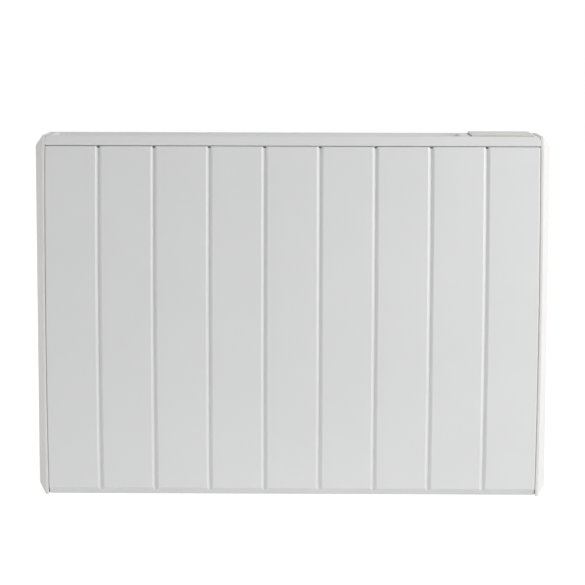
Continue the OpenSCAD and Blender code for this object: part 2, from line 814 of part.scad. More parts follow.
module cutout_bracket() {
    shelf = 22;
    foot = 18;
    width = 20;
    hole_gap = 0.5;
    face = shield_y - shield_t;
    side = [[face - shelf, cutout_z], [face, cutout_z], [face, cutout_z + foot]];
    color("silver") difference() {
        along_x(cutout_x - width / 2, cutout_x + width / 2) polygon(folded(side, sheet, bend_r));
        rod_z(cutout_z - 1, cutout_seat + 1, cutout_x, cutout_y, cutout_cup_r + hole_gap);
    }
}

module thermal_cutout() {
    body_r = 8;
    body_top = cutout_seat + 7;
    tab_offset = 4;
    tab_t = 0.8;
    tab_w = 6;
    tab_h = 7;
    color("saddlebrown") {
        rod_z(cutout_seat, body_top, cutout_x, cutout_y, body_r);
        rod_z(cutout_z - 1, body_top - 1, cutout_x, cutout_y, cutout_cup_r);
        for (side = [-1, 1]) block(
            [cutout_x + side * tab_offset - tab_t / 2, cutout_y - tab_w / 2, cutout_seat + 1],
            [cutout_x + side * tab_offset + tab_t / 2, cutout_y + tab_w / 2, body_top + tab_h]
        );
    }
}

// Room sensor in its clip on the inlet grille, on the cool side of the partition
sensor_end = 24;                    // from the panel's right edge
sensor_front = 32;                  // from the front face
sensor_rise = 6;                    // above the inlet grille
sensor_r = 2.5;
clip_w = 8;
sensor_x = x_panel - sensor_end;
sensor_y = y_front + sensor_front;
sensor_z = plate_z1 + sensor_rise;

module sensor_clip() {
    color("black") difference() {
        block([sensor_x - clip_w / 2, sensor_y - clip_w / 2, plate_z1],
            [sensor_x + clip_w / 2, sensor_y + clip_w / 2, sensor_z + clip_w / 2]);
        rod_y(sensor_y - clip_w, sensor_y + clip_w, sensor_x, sensor_z, sensor_r);
    }
}

module room_sensor() {
    front_reach = 4;
    back_reach = 2;
    color("dimgray") rod_y(sensor_y - clip_w / 2 - front_reach, sensor_y + clip_w / 2 + back_reach,
        sensor_x, sensor_z, sensor_r);
}

// Control fascia: a moulded tray let into the top casing, with the lid's two hinge ears
fascia_x0 = pocket_x0 - fascia_wall;
fascia_x1 = pocket_x1 + fascia_wall;
window_rebate = 1;
window_ledge = 2;
ear_root = fascia_floor / 2;        // run of the ears into the pocket's floor
ear_x = [pocket_x0, pocket_x1 - ear_w];
button_x = [for (k = [-2 : 2]) control_x + k * button_pitch];

module fascia_hole(x, y, w, d, z0, z1) {
    block([x - w / 2, y - d / 2, z0], [x + w / 2, y + d / 2, z1]);
}

module control_fascia() {
    color("gainsboro") difference() {
        union() {
            difference() {
                block([fascia_x0, pocket_y0 - fascia_wall, fascia_z0],
                    [fascia_x1, pocket_y1 + fascia_wall, fascia_z1]);
                block([pocket_x0, pocket_y0, pocket_z], [pocket_x1, pocket_y1, z_top]);
            }
            for (x = ear_x) {
                rod_x(x, x + ear_w, hinge_y, hinge_z, knuckle_r);
                block([x, hinge_y - knuckle_r, pocket_z - ear_root],
                    [x + ear_w, hinge_y + hinge_pin_r, hinge_z]);
            }
        }
        rod_x(pocket_x0, pocket_x1, hinge_y, hinge_z, hinge_pin_r);
        for (x = button_x) rod_z(fascia_z0 - 1, pocket_z + 1, x, button_y, button_r + seat_gap);
        fascia_hole(control_x, window_y, window_w + 2 * seat_gap, window_d + 2 * seat_gap,
            pocket_z - window_rebate, pocket_z + 1);
        fascia_hole(control_x, window_y, window_w - 2 * window_ledge, window_d - 2 * window_ledge,
            fascia_z0 - 1, pocket_z);
    }
}

module display_window() {
    color([0.1, 0.12, 0.14, 0.8])
        fascia_hole(control_x, window_y, window_w, window_d, pocket_z - window_rebate, pocket_z);
}

// Control box under the fascia, open at the top, with four posts for the board
housing_z0 = fascia_z0 - housing_h;
board_z0 = board_z1 - board_t;
board_inset = 3;
post_r = 2.5;

module control_housing() {
    post_inset = board_inset + post_r;
    cable_hole_r = 5;
    cable_hole_inset = 14;
    color("gainsboro") {
        difference() {
            block([housing_x0, housing_y0, housing_z0], [housing_x1, housing_y1, fascia_z0]);
            block([housing_x0 + housing_wall, housing_y0 + housing_wall, housing_z0 + housing_wall],
                [housing_x1 - housing_wall, housing_y1 - housing_wall, fascia_z0 + 1]);
            rod_z(housing_z0 - 1, housing_z0 + housing_wall + 1, control_x, housing_y1 - cable_hole_inset,
                cable_hole_r);
        }
        for (x = [housing_x0 + post_inset, housing_x1 - post_inset],
             y = [housing_y0 + post_inset, housing_y1 - post_inset])
            rod_z(housing_z0 + housing_wall / 2, board_z0, x, y, post_r);
    }
}

module control_board() {
    color("seagreen") block([housing_x0 + board_inset, housing_y0 + board_inset, board_z0],
        [housing_x1 - board_inset, housing_y1 - board_inset, board_z1]);
}

module tact_switches() {
    body = 3;
    plunger_r = 1.7;
    plunger_h = 0.6;
    color("black") for (x = button_x) {
        block([x - body, button_y - body, board_z1], [x + body, button_y + body, tact_top - plunger_h]);
        rod_z(board_z1, tact_top, x, button_y, plunger_r);
    }
}

module display_module() {
    frame = 1.5;
    color("dimgray") fascia_hole(control_x, window_y, window_w - 2 * frame, window_d - 2 * frame,
        board_z1, fascia_z0 - seat_gap);
}

// Push button with a retaining flange under the fascia's floor and a short stem
module button(k) {
    flange_w = 1;
    stem_r = 2;
    flange_z0 = button_flange_z1 - button_flange_t;
    color("silver") {
        rod_z(flange_z0, button_top, button_x[k], button_y, button_r);
        rod_z(flange_z0, button_flange_z1, button_x[k], button_y, button_r + flange_w);
        rod_z(stem_z0, button_flange_z1, button_x[k], button_y, stem_r);
    }
}

module standby_button() { button(0); }
module back_button() { button(1); }
module minus_button() { button(2); }
module plus_button() { button(3); }
module enter_button() { button(4); }

// Lid over the controls: a plate with a short skirt and two knuckles on the hinge pins
knuckle_x = [pocket_x0 + ear_w + seat_gap, pocket_x1 - ear_w - seat_gap - knuckle_w];

module lid_hinge_pins() {
    color("silver") {
        rod_x(pocket_x0, knuckle_x[0] + knuckle_w, hinge_y, hinge_z, hinge_pin_r);
        rod_x(knuckle_x[1], pocket_x1, hinge_y, hinge_z, hinge_pin_r);
    }
}

module control_lid() {
    edge_r = 0.4;
    top_r = 1;
    rear_r = 2;
    skirt_inset = 0.5;
    skirt_end = 8;                      // the skirt stops short of the hinge
    skirt_y1 = hinge_y - skirt_end;
    color("white") {
        intersection() {
            along_x(lid_x0, lid_x1) polygon(rounded(
                [[lid_y0, lid_z0], [lid_y1, lid_z0], [lid_y1, lid_z1], [lid_y0, lid_z1]],
                [edge_r, edge_r, rear_r, top_r]
            ));
            along_y(lid_y0, lid_y1) polygon(rounded(
                [[lid_x0, lid_z0], [lid_x1, lid_z0], [lid_x1, lid_z1], [lid_x0, lid_z1]],
                [edge_r, edge_r, top_r, top_r]
            ));
        }
        difference() {
            block([lid_x0 + skirt_inset, lid_y0 + skirt_inset, lid_z0 - skirt_h],
                [lid_x1 - skirt_inset, skirt_y1, lid_z0 + 1]);
            block([lid_x0 + skirt_inset + skirt_t, lid_y0 + skirt_inset + skirt_t, lid_z0 - skirt_h - 1],
                [lid_x1 - skirt_inset - skirt_t, skirt_y1 + 1, lid_z0]);
        }
        for (x = knuckle_x) difference() {
            union() {
                rod_x(x, x + knuckle_w, hinge_y, hinge_z, knuckle_r);
                block([x, hinge_y - knuckle_r, hinge_z], [x + knuckle_w, hinge_y + knuckle_r, lid_z0 + 1]);
            }
            rod_x(x - 1, x + knuckle_w + 1, hinge_y, hinge_z, hinge_pin_r + pin_clearance);
        }
    }
}

// Power electronics on the back sheet, on the cool side of the partition
power_to_partition = 16;
power_to_frame = 4;
power_x0 = partition_x + power_to_partition;
power_x1 = x_web - sheet - frame_flange - power_to_frame;
power_z = 20;
power_h = 110;
standoff_h = 8;
power_y1 = y_sheet - standoff_h;
power_y0 = power_y1 - board_t;

module board_standoffs() {
    inset = 5;
    post = 3;
    color("white") for (x = [power_x0 + inset, power_x1 - inset], side = [-1, 1])
        rod_y(power_y1, y_sheet, x, power_z + side * (power_h / 2 - inset), post);
}

// Board with its storage capacitor and its small transformer
module power_board() {
    capacitor_r = 6;
    capacitor_h = 14;
    capacitor_x = 16;                   // from the board's left edge
    capacitor_z = 85;                   // from the board's lower edge
    transformer_w = 22;
    transformer_d = 20;
    transformer_h = 28;
    transformer_x = 30;
    transformer_z = 71;
    x1 = power_x0 + transformer_x;
    low = power_z - power_h / 2;
    z1 = low + transformer_z;
    color("seagreen") {
        block([power_x0, power_y0, low], [power_x1, power_y1, low + power_h]);
        rod_y(power_y0 - capacitor_h, power_y1, power_x0 + capacitor_x, low + capacitor_z, capacitor_r);
        block([x1, power_y0 - transformer_d, z1], [x1 + transformer_w, power_y1, z1 + transformer_h]);
    }
}

module relay() {
    relay_w = 20;
    relay_d = 16;
    relay_h = 28;
    relay_left = 10;                    // from the board's left edge
    relay_low = 15;                     // from the board's lower edge
    x0 = power_x0 + relay_left;
    z0 = power_z - power_h / 2 + relay_low;
    color("black") block([x0, power_y0 - relay_d, z0], [x0 + relay_w, power_y0, z0 + relay_h]);
}

// Terminal block for the supply, on the back sheet above the gland
block_low = 95;                     // from the bottom to the terminal block
block_z = z_bottom + block_low;
block_w = 44;
block_h = 20;
block_d = 18;
wire_pitch = 14;
wire_y = y_sheet - block_d / 2;

module terminal_block() {
    wire_hole_r = 2;
    driver_hole_r = 2.5;
    color("ivory") difference() {
        block([gland_x - block_w / 2, y_sheet - block_d, block_z],
            [gland_x + block_w / 2, y_sheet, block_z + block_h]);
        for (k = [-1 : 1]) {
            rod_z(block_z - 1, block_z + block_h + 1, gland_x + k * wire_pitch, wire_y, wire_hole_r);
            rod_y(y_sheet - block_d - 1, wire_y, gland_x + k * wire_pitch, block_z + block_h / 2,
                driver_hole_r);
        }
    }
}

// Gland for the supply cord, through the bottom plate, with its nut inside
gland_z0 = plate_z0 - gland_collar_h;
gland_z1 = gland_z0 + gland_h;

module cable_gland() {
    color("white") difference() {
        union() {
            rod_z(gland_z0, plate_z0, gland_x, element_y, gland_collar_r);
            rod_z(gland_z0, gland_z1, gland_x, element_y, gland_body_r);
        }
        rod_z(gland_z0 - 1, gland_z1 + 1, gland_x, element_y, gland_r);
    }
}

module gland_nut() {
    nut_h = 5;
    nut_wall = 4;                       // at its corners
    color("white") difference() {
        translate([gland_x, element_y, plate_z1])
            cylinder(h = nut_h, r = gland_body_r + nut_wall, $fn = 6);
        rod_z(plate_z1 - 1, plate_z1 + nut_h + 1, gland_x, element_y, gland_body_r);
    }
}

// Earth stud with its nut on the back sheet
module earth_stud() {
    stud_r = 2;
    stud_l = 14;
    nut_r = 4;
    nut_h = 3.2;
    above_block = 30;
    x = power_x0;
    z = block_z + block_h + above_block;
    color("gold") {
        rod_y(y_sheet - stud_l, y_sheet, x, z, stud_r);
        translate([x, y_sheet - nut_h, z]) rotate([-90, 0, 0]) cylinder(h = nut_h, r = nut_r, $fn = 6);
    }
}

// Two insulated leads from the element's pins to the terminal block
module quarter_turn(bend, r) {
    rotate(-90) rotate_extrude(angle = 90) translate([bend, 0]) circle(r);
}

module element_leads() {
    lead_r = 1.2;
    bend = 6;
    hole_reach = 14;                    // down into the terminal block
    color("firebrick") for (side = [-1, 1]) {
        x = gland_x - side * wire_pitch; // the rear pin's lead goes to the near terminal
        y = element_y + side * pin_offset;
        rod_x(terminal_x + pin_l, x - bend, y, element_height, lead_r);
        translate([x - bend, y + bend, element_height]) quarter_turn(bend, lead_r);
        rod_y(y + bend, wire_y - bend, x, element_height, lead_r);
        translate([x, wire_y - bend, element_height + bend]) rotate([90, 0, 90]) quarter_turn(bend, lead_r);
        rod_z(element_height + bend, block_z + block_h - hole_reach, x, wire_y, lead_r);
    }
}

// Wall bracket: one folded plate with two channel rails, two cross bars, four hooks and the latch ears
module wall_bracket() {
    ear_room = 2;                       // of an ear past the latch's eye
    ear_h = latch_eye_r + ear_room;
    window_room = 3;                    // from the latch's eye to the window in the rail
    color("gainsboro") difference() {
        union() {
            for (side = [-1, 1]) {
                block([-rail_x - rail_w / 2, -bracket_t, side * bar_z - rail_w / 2],
                    [rail_x + rail_w / 2, 0, side * bar_z + rail_w / 2]);
            }
            mirrored() {
                block([rail_x - rail_w / 2, -bracket_t, rail_z0], [rail_x + rail_w / 2, 0, rail_z1]);
                for (x = [rail_x - rail_w / 2, rail_x + rail_w / 2 - bracket_t])
                    block([x, y_back, rail_z0], [x + bracket_t, 0, rail_z1]);
                for (side = [-1, 1]) {
                    block([rail_x - hook_w / 2, y_back - hook_reach - bracket_t, side * hook_z - bracket_t],
                        [rail_x + hook_w / 2, 0, side * hook_z]);
                    block([rail_x - hook_w / 2, y_back - hook_reach - bracket_t, side * hook_z - bracket_t],
                        [rail_x + hook_w / 2, y_back - hook_reach, side * hook_z + hook_rise]);
                }
                for (x = [rail_x - latch_w / 2 - latch_ear_gap - bracket_t,
                          rail_x + latch_w / 2 + latch_ear_gap])
                    block([x, latch_y - ear_h / 2, latch_z - ear_h],
                        [x + bracket_t, 0, latch_z + ear_h / 2]);
            }
        }
        mirrored() {
            for (side = [-1, 1]) rod_y(-bracket_t - 1, 1, rail_x, side * bar_z, fix_r);
            block([rail_x - latch_w / 2 - 1, -bracket_t - 1, latch_z + latch_eye_r + window_room],
                [rail_x + latch_w / 2 + 1, 1, rail_z1 + 1]);
            rod_x(rail_x - latch_w, rail_x + latch_w, latch_y, latch_z, latch_pin_r);
        }
    }
}

// Pins on which the latches turn, headed at one end
module latch_pins() {
    head = 1.2;
    end = rail_x + latch_w / 2 + latch_ear_gap + bracket_t;
    color("silver") mirrored() {
        rod_x(2 * rail_x - end, end + head, latch_y, latch_z, latch_pin_r);
        rod_x(end, end + head, latch_y, latch_z, latch_pin_r + head);
    }
}

// Latch: a lever whose nose hooks over the edge of the back sheet's slot
module latch() {
    lip = 3;                            // of the arm's end, bent forward for a finger
    lip_t = 1.5;
    tip_y = y_back - nose_reach;
    front_y = latch_y - latch_arm_t / 2;
    arm_z1 = latch_z + latch_arm;
    color("darkgray") difference() {
        union() {
            rod_x(rail_x - latch_w / 2, rail_x + latch_w / 2, latch_y, latch_z, latch_eye_r);
            along_x(rail_x - latch_w / 2, rail_x + latch_w / 2) {
                polygon([
                    [latch_y + latch_arm_t / 2, latch_z], [latch_y + latch_arm_t / 2, arm_z1],
                    [front_y - lip, arm_z1], [front_y - lip, arm_z1 - lip_t],
                    [front_y, arm_z1 - lip_t], [front_y, latch_z]
                ]);
                polygon([
                    [front_y + 1, latch_z + nose_z0], [tip_y, latch_z + nose_z0],
                    [tip_y, latch_z + nose_z0 + 1], [front_y + 1, latch_z + nose_z1]
                ]);
            }
        }
        rod_x(rail_x - latch_w, rail_x + latch_w, latch_y, latch_z, latch_pin_r + pin_clearance);
    }
}

module right_latch() { latch(); }
module left_latch() { mirror([1, 0, 0]) latch(); }

front_panel();
top_casing();
outlet_grille();
inlet_grille();
rear_casing();
left_end_cap();
right_end_cap();
left_side_frame();
right_side_frame();
partition();
casing_screws();
end_cap_screws();
heat_shield();
convector_fins();
heating_rod();
element_bushes();
element_terminals();
element_bracket();
cutout_bracket();
thermal_cutout();
sensor_clip();
room_sensor();
control_fascia();
control_housing();
control_board();
tact_switches();
display_module();
display_window();
standby_button();
back_button();
minus_button();
plus_button();
enter_button();
lid_hinge_pins();
control_lid();
board_standoffs();
power_board();
relay();
terminal_block();
cable_gland();
gland_nut();
earth_stud();
element_leads();
wall_bracket();
latch_pins();
left_latch();
right_latch();
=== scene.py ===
from math import cos, pi, radians, sin, sqrt, tan

import bmesh
import bpy
from mathutils import Matrix, Vector


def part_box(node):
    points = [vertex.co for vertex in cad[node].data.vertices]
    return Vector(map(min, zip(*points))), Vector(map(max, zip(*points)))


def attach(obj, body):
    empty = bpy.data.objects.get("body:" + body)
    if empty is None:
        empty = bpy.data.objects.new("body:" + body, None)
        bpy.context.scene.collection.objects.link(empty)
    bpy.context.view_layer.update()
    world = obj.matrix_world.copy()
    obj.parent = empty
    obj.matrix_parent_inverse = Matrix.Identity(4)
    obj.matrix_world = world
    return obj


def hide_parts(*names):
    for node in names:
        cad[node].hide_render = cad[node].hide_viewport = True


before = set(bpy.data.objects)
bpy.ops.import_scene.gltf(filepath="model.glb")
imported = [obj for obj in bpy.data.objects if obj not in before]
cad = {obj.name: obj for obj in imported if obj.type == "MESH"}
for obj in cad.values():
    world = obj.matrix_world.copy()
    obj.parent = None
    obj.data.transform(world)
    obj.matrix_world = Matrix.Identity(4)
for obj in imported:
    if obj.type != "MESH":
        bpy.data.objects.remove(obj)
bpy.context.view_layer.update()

scene = bpy.context.scene

# Camera: 3.2 m in front of the heater, a little above it and looking 7 degrees down through a long lens.
# Its place comes from the grooves, the joint line and the lower edge in the photograph.
camera_place = (0.0243, -3.2305, 0.4400)
camera_turn, camera_drop, camera_roll = radians(0.436), radians(7.363), radians(0.143)
camera = bpy.data.cameras.new("camera")
camera.sensor_width = 36
camera.lens = 133.29
camera_object = bpy.data.objects.new("camera", camera)
camera_object.matrix_world = (
    Matrix.Translation(camera_place)
    @ Matrix.Rotation(camera_turn, 4, "Z")
    @ Matrix.Rotation(radians(90) - camera_drop, 4, "X")
    @ Matrix.Rotation(camera_roll, 4, "Z")
)
scene.collection.objects.link(camera_object)
scene.camera = camera_object

# Studio: soft light from all round, a large lamp on the right, weak ones below and at the sides, and a pale
# floor well below, since the heater hangs on a wall. The floor fades to white away from the heater.
floor_drop, floor_reach = 0.95, 20
fade_start, fade_end = 1.1, 2.4         # distance from the heater, in metres, over which the floor fades
near_glow, far_glow = 0.38, 0.62        # what the fade adds to the floor's own light
level_light, overhead_light = 0.60, 0.49
scene.view_settings.view_transform = "Standard"


def soft_lamp(name, place, aim, size, watts):
    """A lamp with an even rectangular face, turned towards a point and unseen by the camera."""
    lamp = bpy.data.lights.new(name, "AREA")
    lamp.shape = "RECTANGLE"
    lamp.size, lamp.size_y = size
    lamp.energy = watts
    holder = bpy.data.objects.new(name, lamp)
    holder.location = place
    holder.rotation_euler = (Vector(aim) - Vector(place)).to_track_quat("-Z", "Y").to_euler()
    holder.visible_camera = False
    scene.collection.objects.link(holder)


soft_lamp("right_lamp", place=(1.7, -1.1, 0.66), aim=(0, -0.1, 0.05), size=(0.9, 0.9), watts=17.7)
soft_lamp("side_lamp", place=(1.9, -0.35, 0.15), aim=(0.37, -0.1, 0), size=(0.5, 0.9), watts=3.2)
soft_lamp("left_lamp", place=(-1.9, -0.45, 0.1), aim=(-0.37, -0.06, 0), size=(0.6, 0.9), watts=2.1)
soft_lamp("low_lamp", place=(0, -0.65, -0.70), aim=(0, -0.1, -0.15), size=(1.2, 0.3), watts=1.05)


def worked_out(tree, operation, first, second, within_one=False):
    """The sum or product of two outputs, held between 0 and 1 where asked."""
    step = tree.nodes.new("ShaderNodeMath")
    step.operation = operation
    step.use_clamp = within_one
    tree.links.new(first, step.inputs[0])
    tree.links.new(second, step.inputs[1])
    return step.outputs[0]


def seen_directly(tree):
    """1 for what the camera sees by itself, in a reflection or through glass, 0 for light on a surface."""
    rays = tree.nodes.new("ShaderNodeLightPath")
    seen = worked_out(tree, "ADD", rays.outputs["Is Camera Ray"], rays.outputs["Is Glossy Ray"], True)
    return worked_out(tree, "ADD", seen, rays.outputs["Is Transmission Ray"], True)


def spread_to(tree, source, low, high, start=0.0, end=1.0):
    """Runs a pattern between two numbers, as the pattern itself goes from start to end."""
    span = tree.nodes.new("ShaderNodeMapRange")
    span.inputs["From Min"].default_value = start
    span.inputs["From Max"].default_value = end
    span.inputs["To Min"].default_value = low
    span.inputs["To Max"].default_value = high
    tree.links.new(source, span.inputs["Value"])
    return span.outputs["Result"]


world = bpy.data.worlds.new("surround")
scene.world = world
world.use_nodes = True
tree = world.node_tree
tree.nodes.clear()
gaze = tree.nodes.new("ShaderNodeTexCoord")
height = tree.nodes.new("ShaderNodeSeparateXYZ")
tree.links.new(gaze.outputs["Generated"], height.inputs[0])
ambient = tree.nodes.new("ShaderNodeBackground")
ambient.inputs["Color"].default_value = (1, 1, 1, 1)
light = spread_to(tree, height.outputs["Z"], level_light, overhead_light)
tree.links.new(light, ambient.inputs["Strength"])
white = tree.nodes.new("ShaderNodeBackground")
white.inputs["Color"].default_value = (1, 1, 1, 1)
white.inputs["Strength"].default_value = 1
either = tree.nodes.new("ShaderNodeMixShader")
tree.links.new(seen_directly(tree), either.inputs[0])
tree.links.new(ambient.outputs[0], either.inputs[1])
tree.links.new(white.outputs[0], either.inputs[2])
surround = tree.nodes.new("ShaderNodeOutputWorld")
tree.links.new(either.outputs[0], surround.inputs["Surface"])

floor_mesh = bpy.data.meshes.new("floor")
floor_mesh.from_pydata([(x * floor_reach, y * floor_reach, -floor_drop)
                        for x, y in ((-1, -1), (1, -1), (1, 1), (-1, 1))], [], [(0, 1, 2, 3)])
floor = bpy.data.objects.new("floor", floor_mesh)
scene.collection.objects.link(floor)
floor_paint = bpy.data.materials.new("floor_paint")
floor_paint.use_nodes = True
tree = floor_paint.node_tree
shader = tree.nodes["Principled BSDF"]
shader.inputs["Base Color"].default_value = (0.82, 0.82, 0.82, 1)
shader.inputs["Roughness"].default_value = 0.9
grid = tree.nodes.new("ShaderNodeTexCoord")
away = tree.nodes.new("ShaderNodeVectorMath")
away.operation = "LENGTH"
tree.links.new(grid.outputs["Object"], away.inputs[0])
fade = spread_to(tree, away.outputs["Value"], near_glow, far_glow, fade_start, fade_end)
glow = tree.nodes.new("ShaderNodeEmission")
tree.links.new(worked_out(tree, "MULTIPLY", seen_directly(tree), fade), glow.inputs["Strength"])
both = tree.nodes.new("ShaderNodeAddShader")
tree.links.new(shader.outputs[0], both.inputs[0])
tree.links.new(glow.outputs[0], both.inputs[1])
tree.links.new(both.outputs[0], tree.nodes["Material Output"].inputs["Surface"])
floor_mesh.materials.append(floor_paint)


# Side frames, partition, brackets, shield and inlet grille: folded and slotted zinc-coated sheet, left bare
# inside the body. The zinc shows its flower pattern: flat crystals of slightly different grey and gloss.
crisp = radians(35)             # faces that meet at a sharper angle than this keep their edge


def noise_in(tree, scale, detail=2.0, stretch=(1, 1, 1)):
    """Noise over the piece's own grid, scale in waves per metre."""
    place = tree.nodes.new("ShaderNodeTexCoord")
    spread = tree.nodes.new("ShaderNodeMapping")
    spread.inputs["Scale"].default_value = stretch
    wave = tree.nodes.new("ShaderNodeTexNoise")
    wave.inputs["Scale"].default_value = scale
    wave.inputs["Detail"].default_value = detail
    tree.links.new(place.outputs["Object"], spread.inputs["Vector"])
    tree.links.new(spread.outputs["Vector"], wave.inputs["Vector"])
    return wave.outputs["Fac"]


def shades(tree, source, low, high, start=0.3, end=0.7):
    """Runs a pattern between two colours."""
    ramp = tree.nodes.new("ShaderNodeValToRGB")
    ramp.color_ramp.elements[0].position = start
    ramp.color_ramp.elements[1].position = end
    ramp.color_ramp.elements[0].color = (*low, 1)
    ramp.color_ramp.elements[1].color = (*high, 1)
    tree.links.new(source, ramp.inputs["Fac"])
    return ramp.outputs["Color"]


def relief(tree, source, depth, shader):
    """Small surface relief, depth in metres."""
    bump = tree.nodes.new("ShaderNodeBump")
    bump.inputs["Strength"].default_value = 1
    bump.inputs["Distance"].default_value = depth
    tree.links.new(source, bump.inputs["Height"])
    tree.links.new(bump.outputs["Normal"], shader.inputs["Normal"])


def new_finish(name, metallic=0.0):
    """An empty finish, with its nodes and its shader."""
    finish = bpy.data.materials.new(name)
    finish.use_nodes = True
    shader = finish.node_tree.nodes["Principled BSDF"]
    shader.inputs["Metallic"].default_value = metallic
    return finish, finish.node_tree, shader


def grained(name, low, high, gloss, colour_scale=12, gloss_scale=60, relief_scale=2500, depth=0.00002,
            metallic=0.0, stretch=(1, 1, 1)):
    """A finish whose colour drifts from low to high and whose roughness drifts over the gloss pair."""
    finish, tree, shader = new_finish(name, metallic)
    colour = shades(tree, noise_in(tree, colour_scale, 3, stretch), low, high)
    tree.links.new(colour, shader.inputs["Base Color"])
    roughness = spread_to(tree, noise_in(tree, gloss_scale, 4, stretch), *gloss)
    tree.links.new(roughness, shader.inputs["Roughness"])
    relief(tree, noise_in(tree, relief_scale, 3, stretch), depth, shader)
    return finish


def dress(names, finish, edge=0.3):
    """Gives CAD nodes a finish, and their edges the small radius of the real piece, in millimetres."""
    for name in names:
        node = cad[name]
        node.data.materials.clear()
        node.data.materials.append(finish)
        node.data.polygons.foreach_set("material_index", [0] * len(node.data.polygons))
        weld = node.modifiers.new("weld", "WELD")
        weld.merge_threshold = 1e-6
        flats = node.modifiers.new("flats", "DECIMATE")
        flats.decimate_type = "DISSOLVE"
        flats.angle_limit = radians(1)
        edges = node.modifiers.new("edges", "BEVEL")
        edges.width = edge / 1000
        edges.segments = 2
        edges.limit_method = "ANGLE"
        edges.angle_limit = crisp
        edges.harden_normals = True
        shading = node.modifiers.new("shading", "WEIGHTED_NORMAL")
        shading.keep_sharp = False


galvanised, tree, shader = new_finish("zinc_flower_sheet", metallic=1.0)
flowers = tree.nodes.new("ShaderNodeTexVoronoi")
flowers.inputs["Scale"].default_value = 90
grid = tree.nodes.new("ShaderNodeTexCoord")
tree.links.new(grid.outputs["Object"], flowers.inputs["Vector"])
flower_grey = shades(tree, flowers.outputs["Color"], (0.52, 0.53, 0.54), (0.70, 0.71, 0.72), 0.0, 1.0)
tree.links.new(flower_grey, shader.inputs["Base Color"])
tree.links.new(spread_to(tree, flowers.outputs["Color"], 0.30, 0.48), shader.inputs["Roughness"])
relief(tree, noise_in(tree, 700), 0.00002, shader)
dress(["left_side_frame", "right_side_frame", "partition", "inlet_grille"], galvanised, 0.15)
dress(["element_bracket", "cutout_bracket"], galvanised, 0.15)
dress(["heat_shield"], galvanised, 0.1)

# Rear casing: the back sheet of the body, folded steel with side flanges, a lower foot and slots for the wall
# hooks and the latches. It is screwed to the side frames and has the casing's satin white powder coat.
powder_coat = grained("satin_white_coat", (0.765, 0.768, 0.768), (0.785, 0.788, 0.788), (0.36, 0.46),
                      colour_scale=7, gloss_scale=40, relief_scale=1400, depth=0.00003)
dress(["rear_casing"], powder_coat, 0.2)

# Heating element: an extruded aluminium convector on a sheathed rod, carried by two ceramic bushes.
# The extrusion shows faint lines along its length; the sheath is tinted by heat.
extruded = grained("extruded_aluminium", (0.66, 0.67, 0.68), (0.76, 0.77, 0.78), (0.26, 0.42),
                   colour_scale=20, relief_scale=900, depth=0.00003, metallic=1.0, stretch=(0.02, 1, 1))
dress(["convector_fins"], extruded, 0.25)
tinted = grained("heat_tinted_sheath", (0.30, 0.26, 0.22), (0.48, 0.45, 0.42), (0.3, 0.45), colour_scale=40,
                 metallic=1.0)
dress(["heating_rod"], tinted)
unglazed = grained("unglazed_ceramic", (0.80, 0.77, 0.70), (0.88, 0.85, 0.80), (0.6, 0.8),
                   relief_scale=1800, depth=0.00005)
dress(["element_bushes"], unglazed)
plain_brass = grained("plain_brass", (0.66, 0.50, 0.24), (0.76, 0.60, 0.34), (0.25, 0.4), colour_scale=60,
                      metallic=1.0)
dress(["element_terminals"], plain_brass, 0.1)

# Cut-out, sensor and their mouldings: dark phenolic and matt black plastic.
# The cut-out is clamped in its bracket above the element; the sensor sits in a clip on the inlet grille.
phenolic = grained("dark_phenolic", (0.16, 0.08, 0.05), (0.24, 0.13, 0.08), (0.35, 0.5), colour_scale=200)
dress(["thermal_cutout"], phenolic)
matt_black = grained("matt_black", (0.030, 0.030, 0.031), (0.055, 0.055, 0.056), (0.5, 0.65), colour_scale=80)
dress(["sensor_clip", "room_sensor"], matt_black)

# Power side: board, relay, terminal block, earth stud and the two leads, on the back sheet.
# The board stands on nylon posts; the terminal block lies above the gland of the supply cord.
solder_mask = grained("solder_mask", (0.04, 0.20, 0.10), (0.07, 0.27, 0.15), (0.25, 0.4), colour_scale=300)
dress(["power_board"], solder_mask, 0.2)
dress(["relay"], matt_black)
natural_nylon = grained("natural_nylon", (0.74, 0.73, 0.68), (0.82, 0.81, 0.77), (0.4, 0.55), colour_scale=50)
dress(["board_standoffs", "terminal_block", "cable_gland", "gland_nut"], natural_nylon)
dress(["earth_stud"], plain_brass)
sleeving = grained("silicone_sleeving", (0.45, 0.08, 0.05), (0.58, 0.14, 0.09), (0.5, 0.65), colour_scale=90)
dress(["element_leads"], sleeving)

# Front panel: one sheet of 1 mm steel with eight pressed grooves, bowed out towards the room at mid-height,
# folded back at the top and the sides and sloped in along the bottom, under the satin white powder coat.
# It is screwed to the side frames through its side returns.
sheet = 1.0
bend = 2.0                      # outside radius of the folds
fold_steps = 6
panel_x = 357.0
face_y = -110.0                 # front edges of the body at top and bottom
half_height = 264.0
front_bow = 15.5
panel_top, panel_foot = 248.9, -264.0
lip_top, lip_run = -253.0, 9.0
flange_back, foot_back = -98.0, -87.0       # rear edges of the upper and the lower flange
return_back = -96.0             # rear edge of the side returns, which is straight
return_shares = (0.5, 5 / 6, 1)             # places of a return's lines on its way back
bow_fade = 8.0                  # the bow comes in over this depth in front of the returns' rear edge
groove_count, groove_pitch = 8, 80.0
groove_half, groove_depth = 4.3, 3.8
groove_shoulder = 2.8           # outside radius where a groove meets the flats
wall_turn = (2.0, 1.8)          # (distance, depth) where a groove's wall goes from steep to gentler
notch_half = wall_turn[0]       # relief notch at each groove's upper end, as wide as the steep part
notch_height, notch_reach = 2.5, 3.5        # how far the notch goes down, and back from the face
flange_shares = [0.7]           # rows of the net between the folds, as shares of the way, closer near a fold
face_shares = [0.001, *(k / 24 for k in range(1, 24)), 0.982, 0.99, 0.996]
lip_shares = [k / 16 for k in range(1, 16)]
foot_share = 0.66


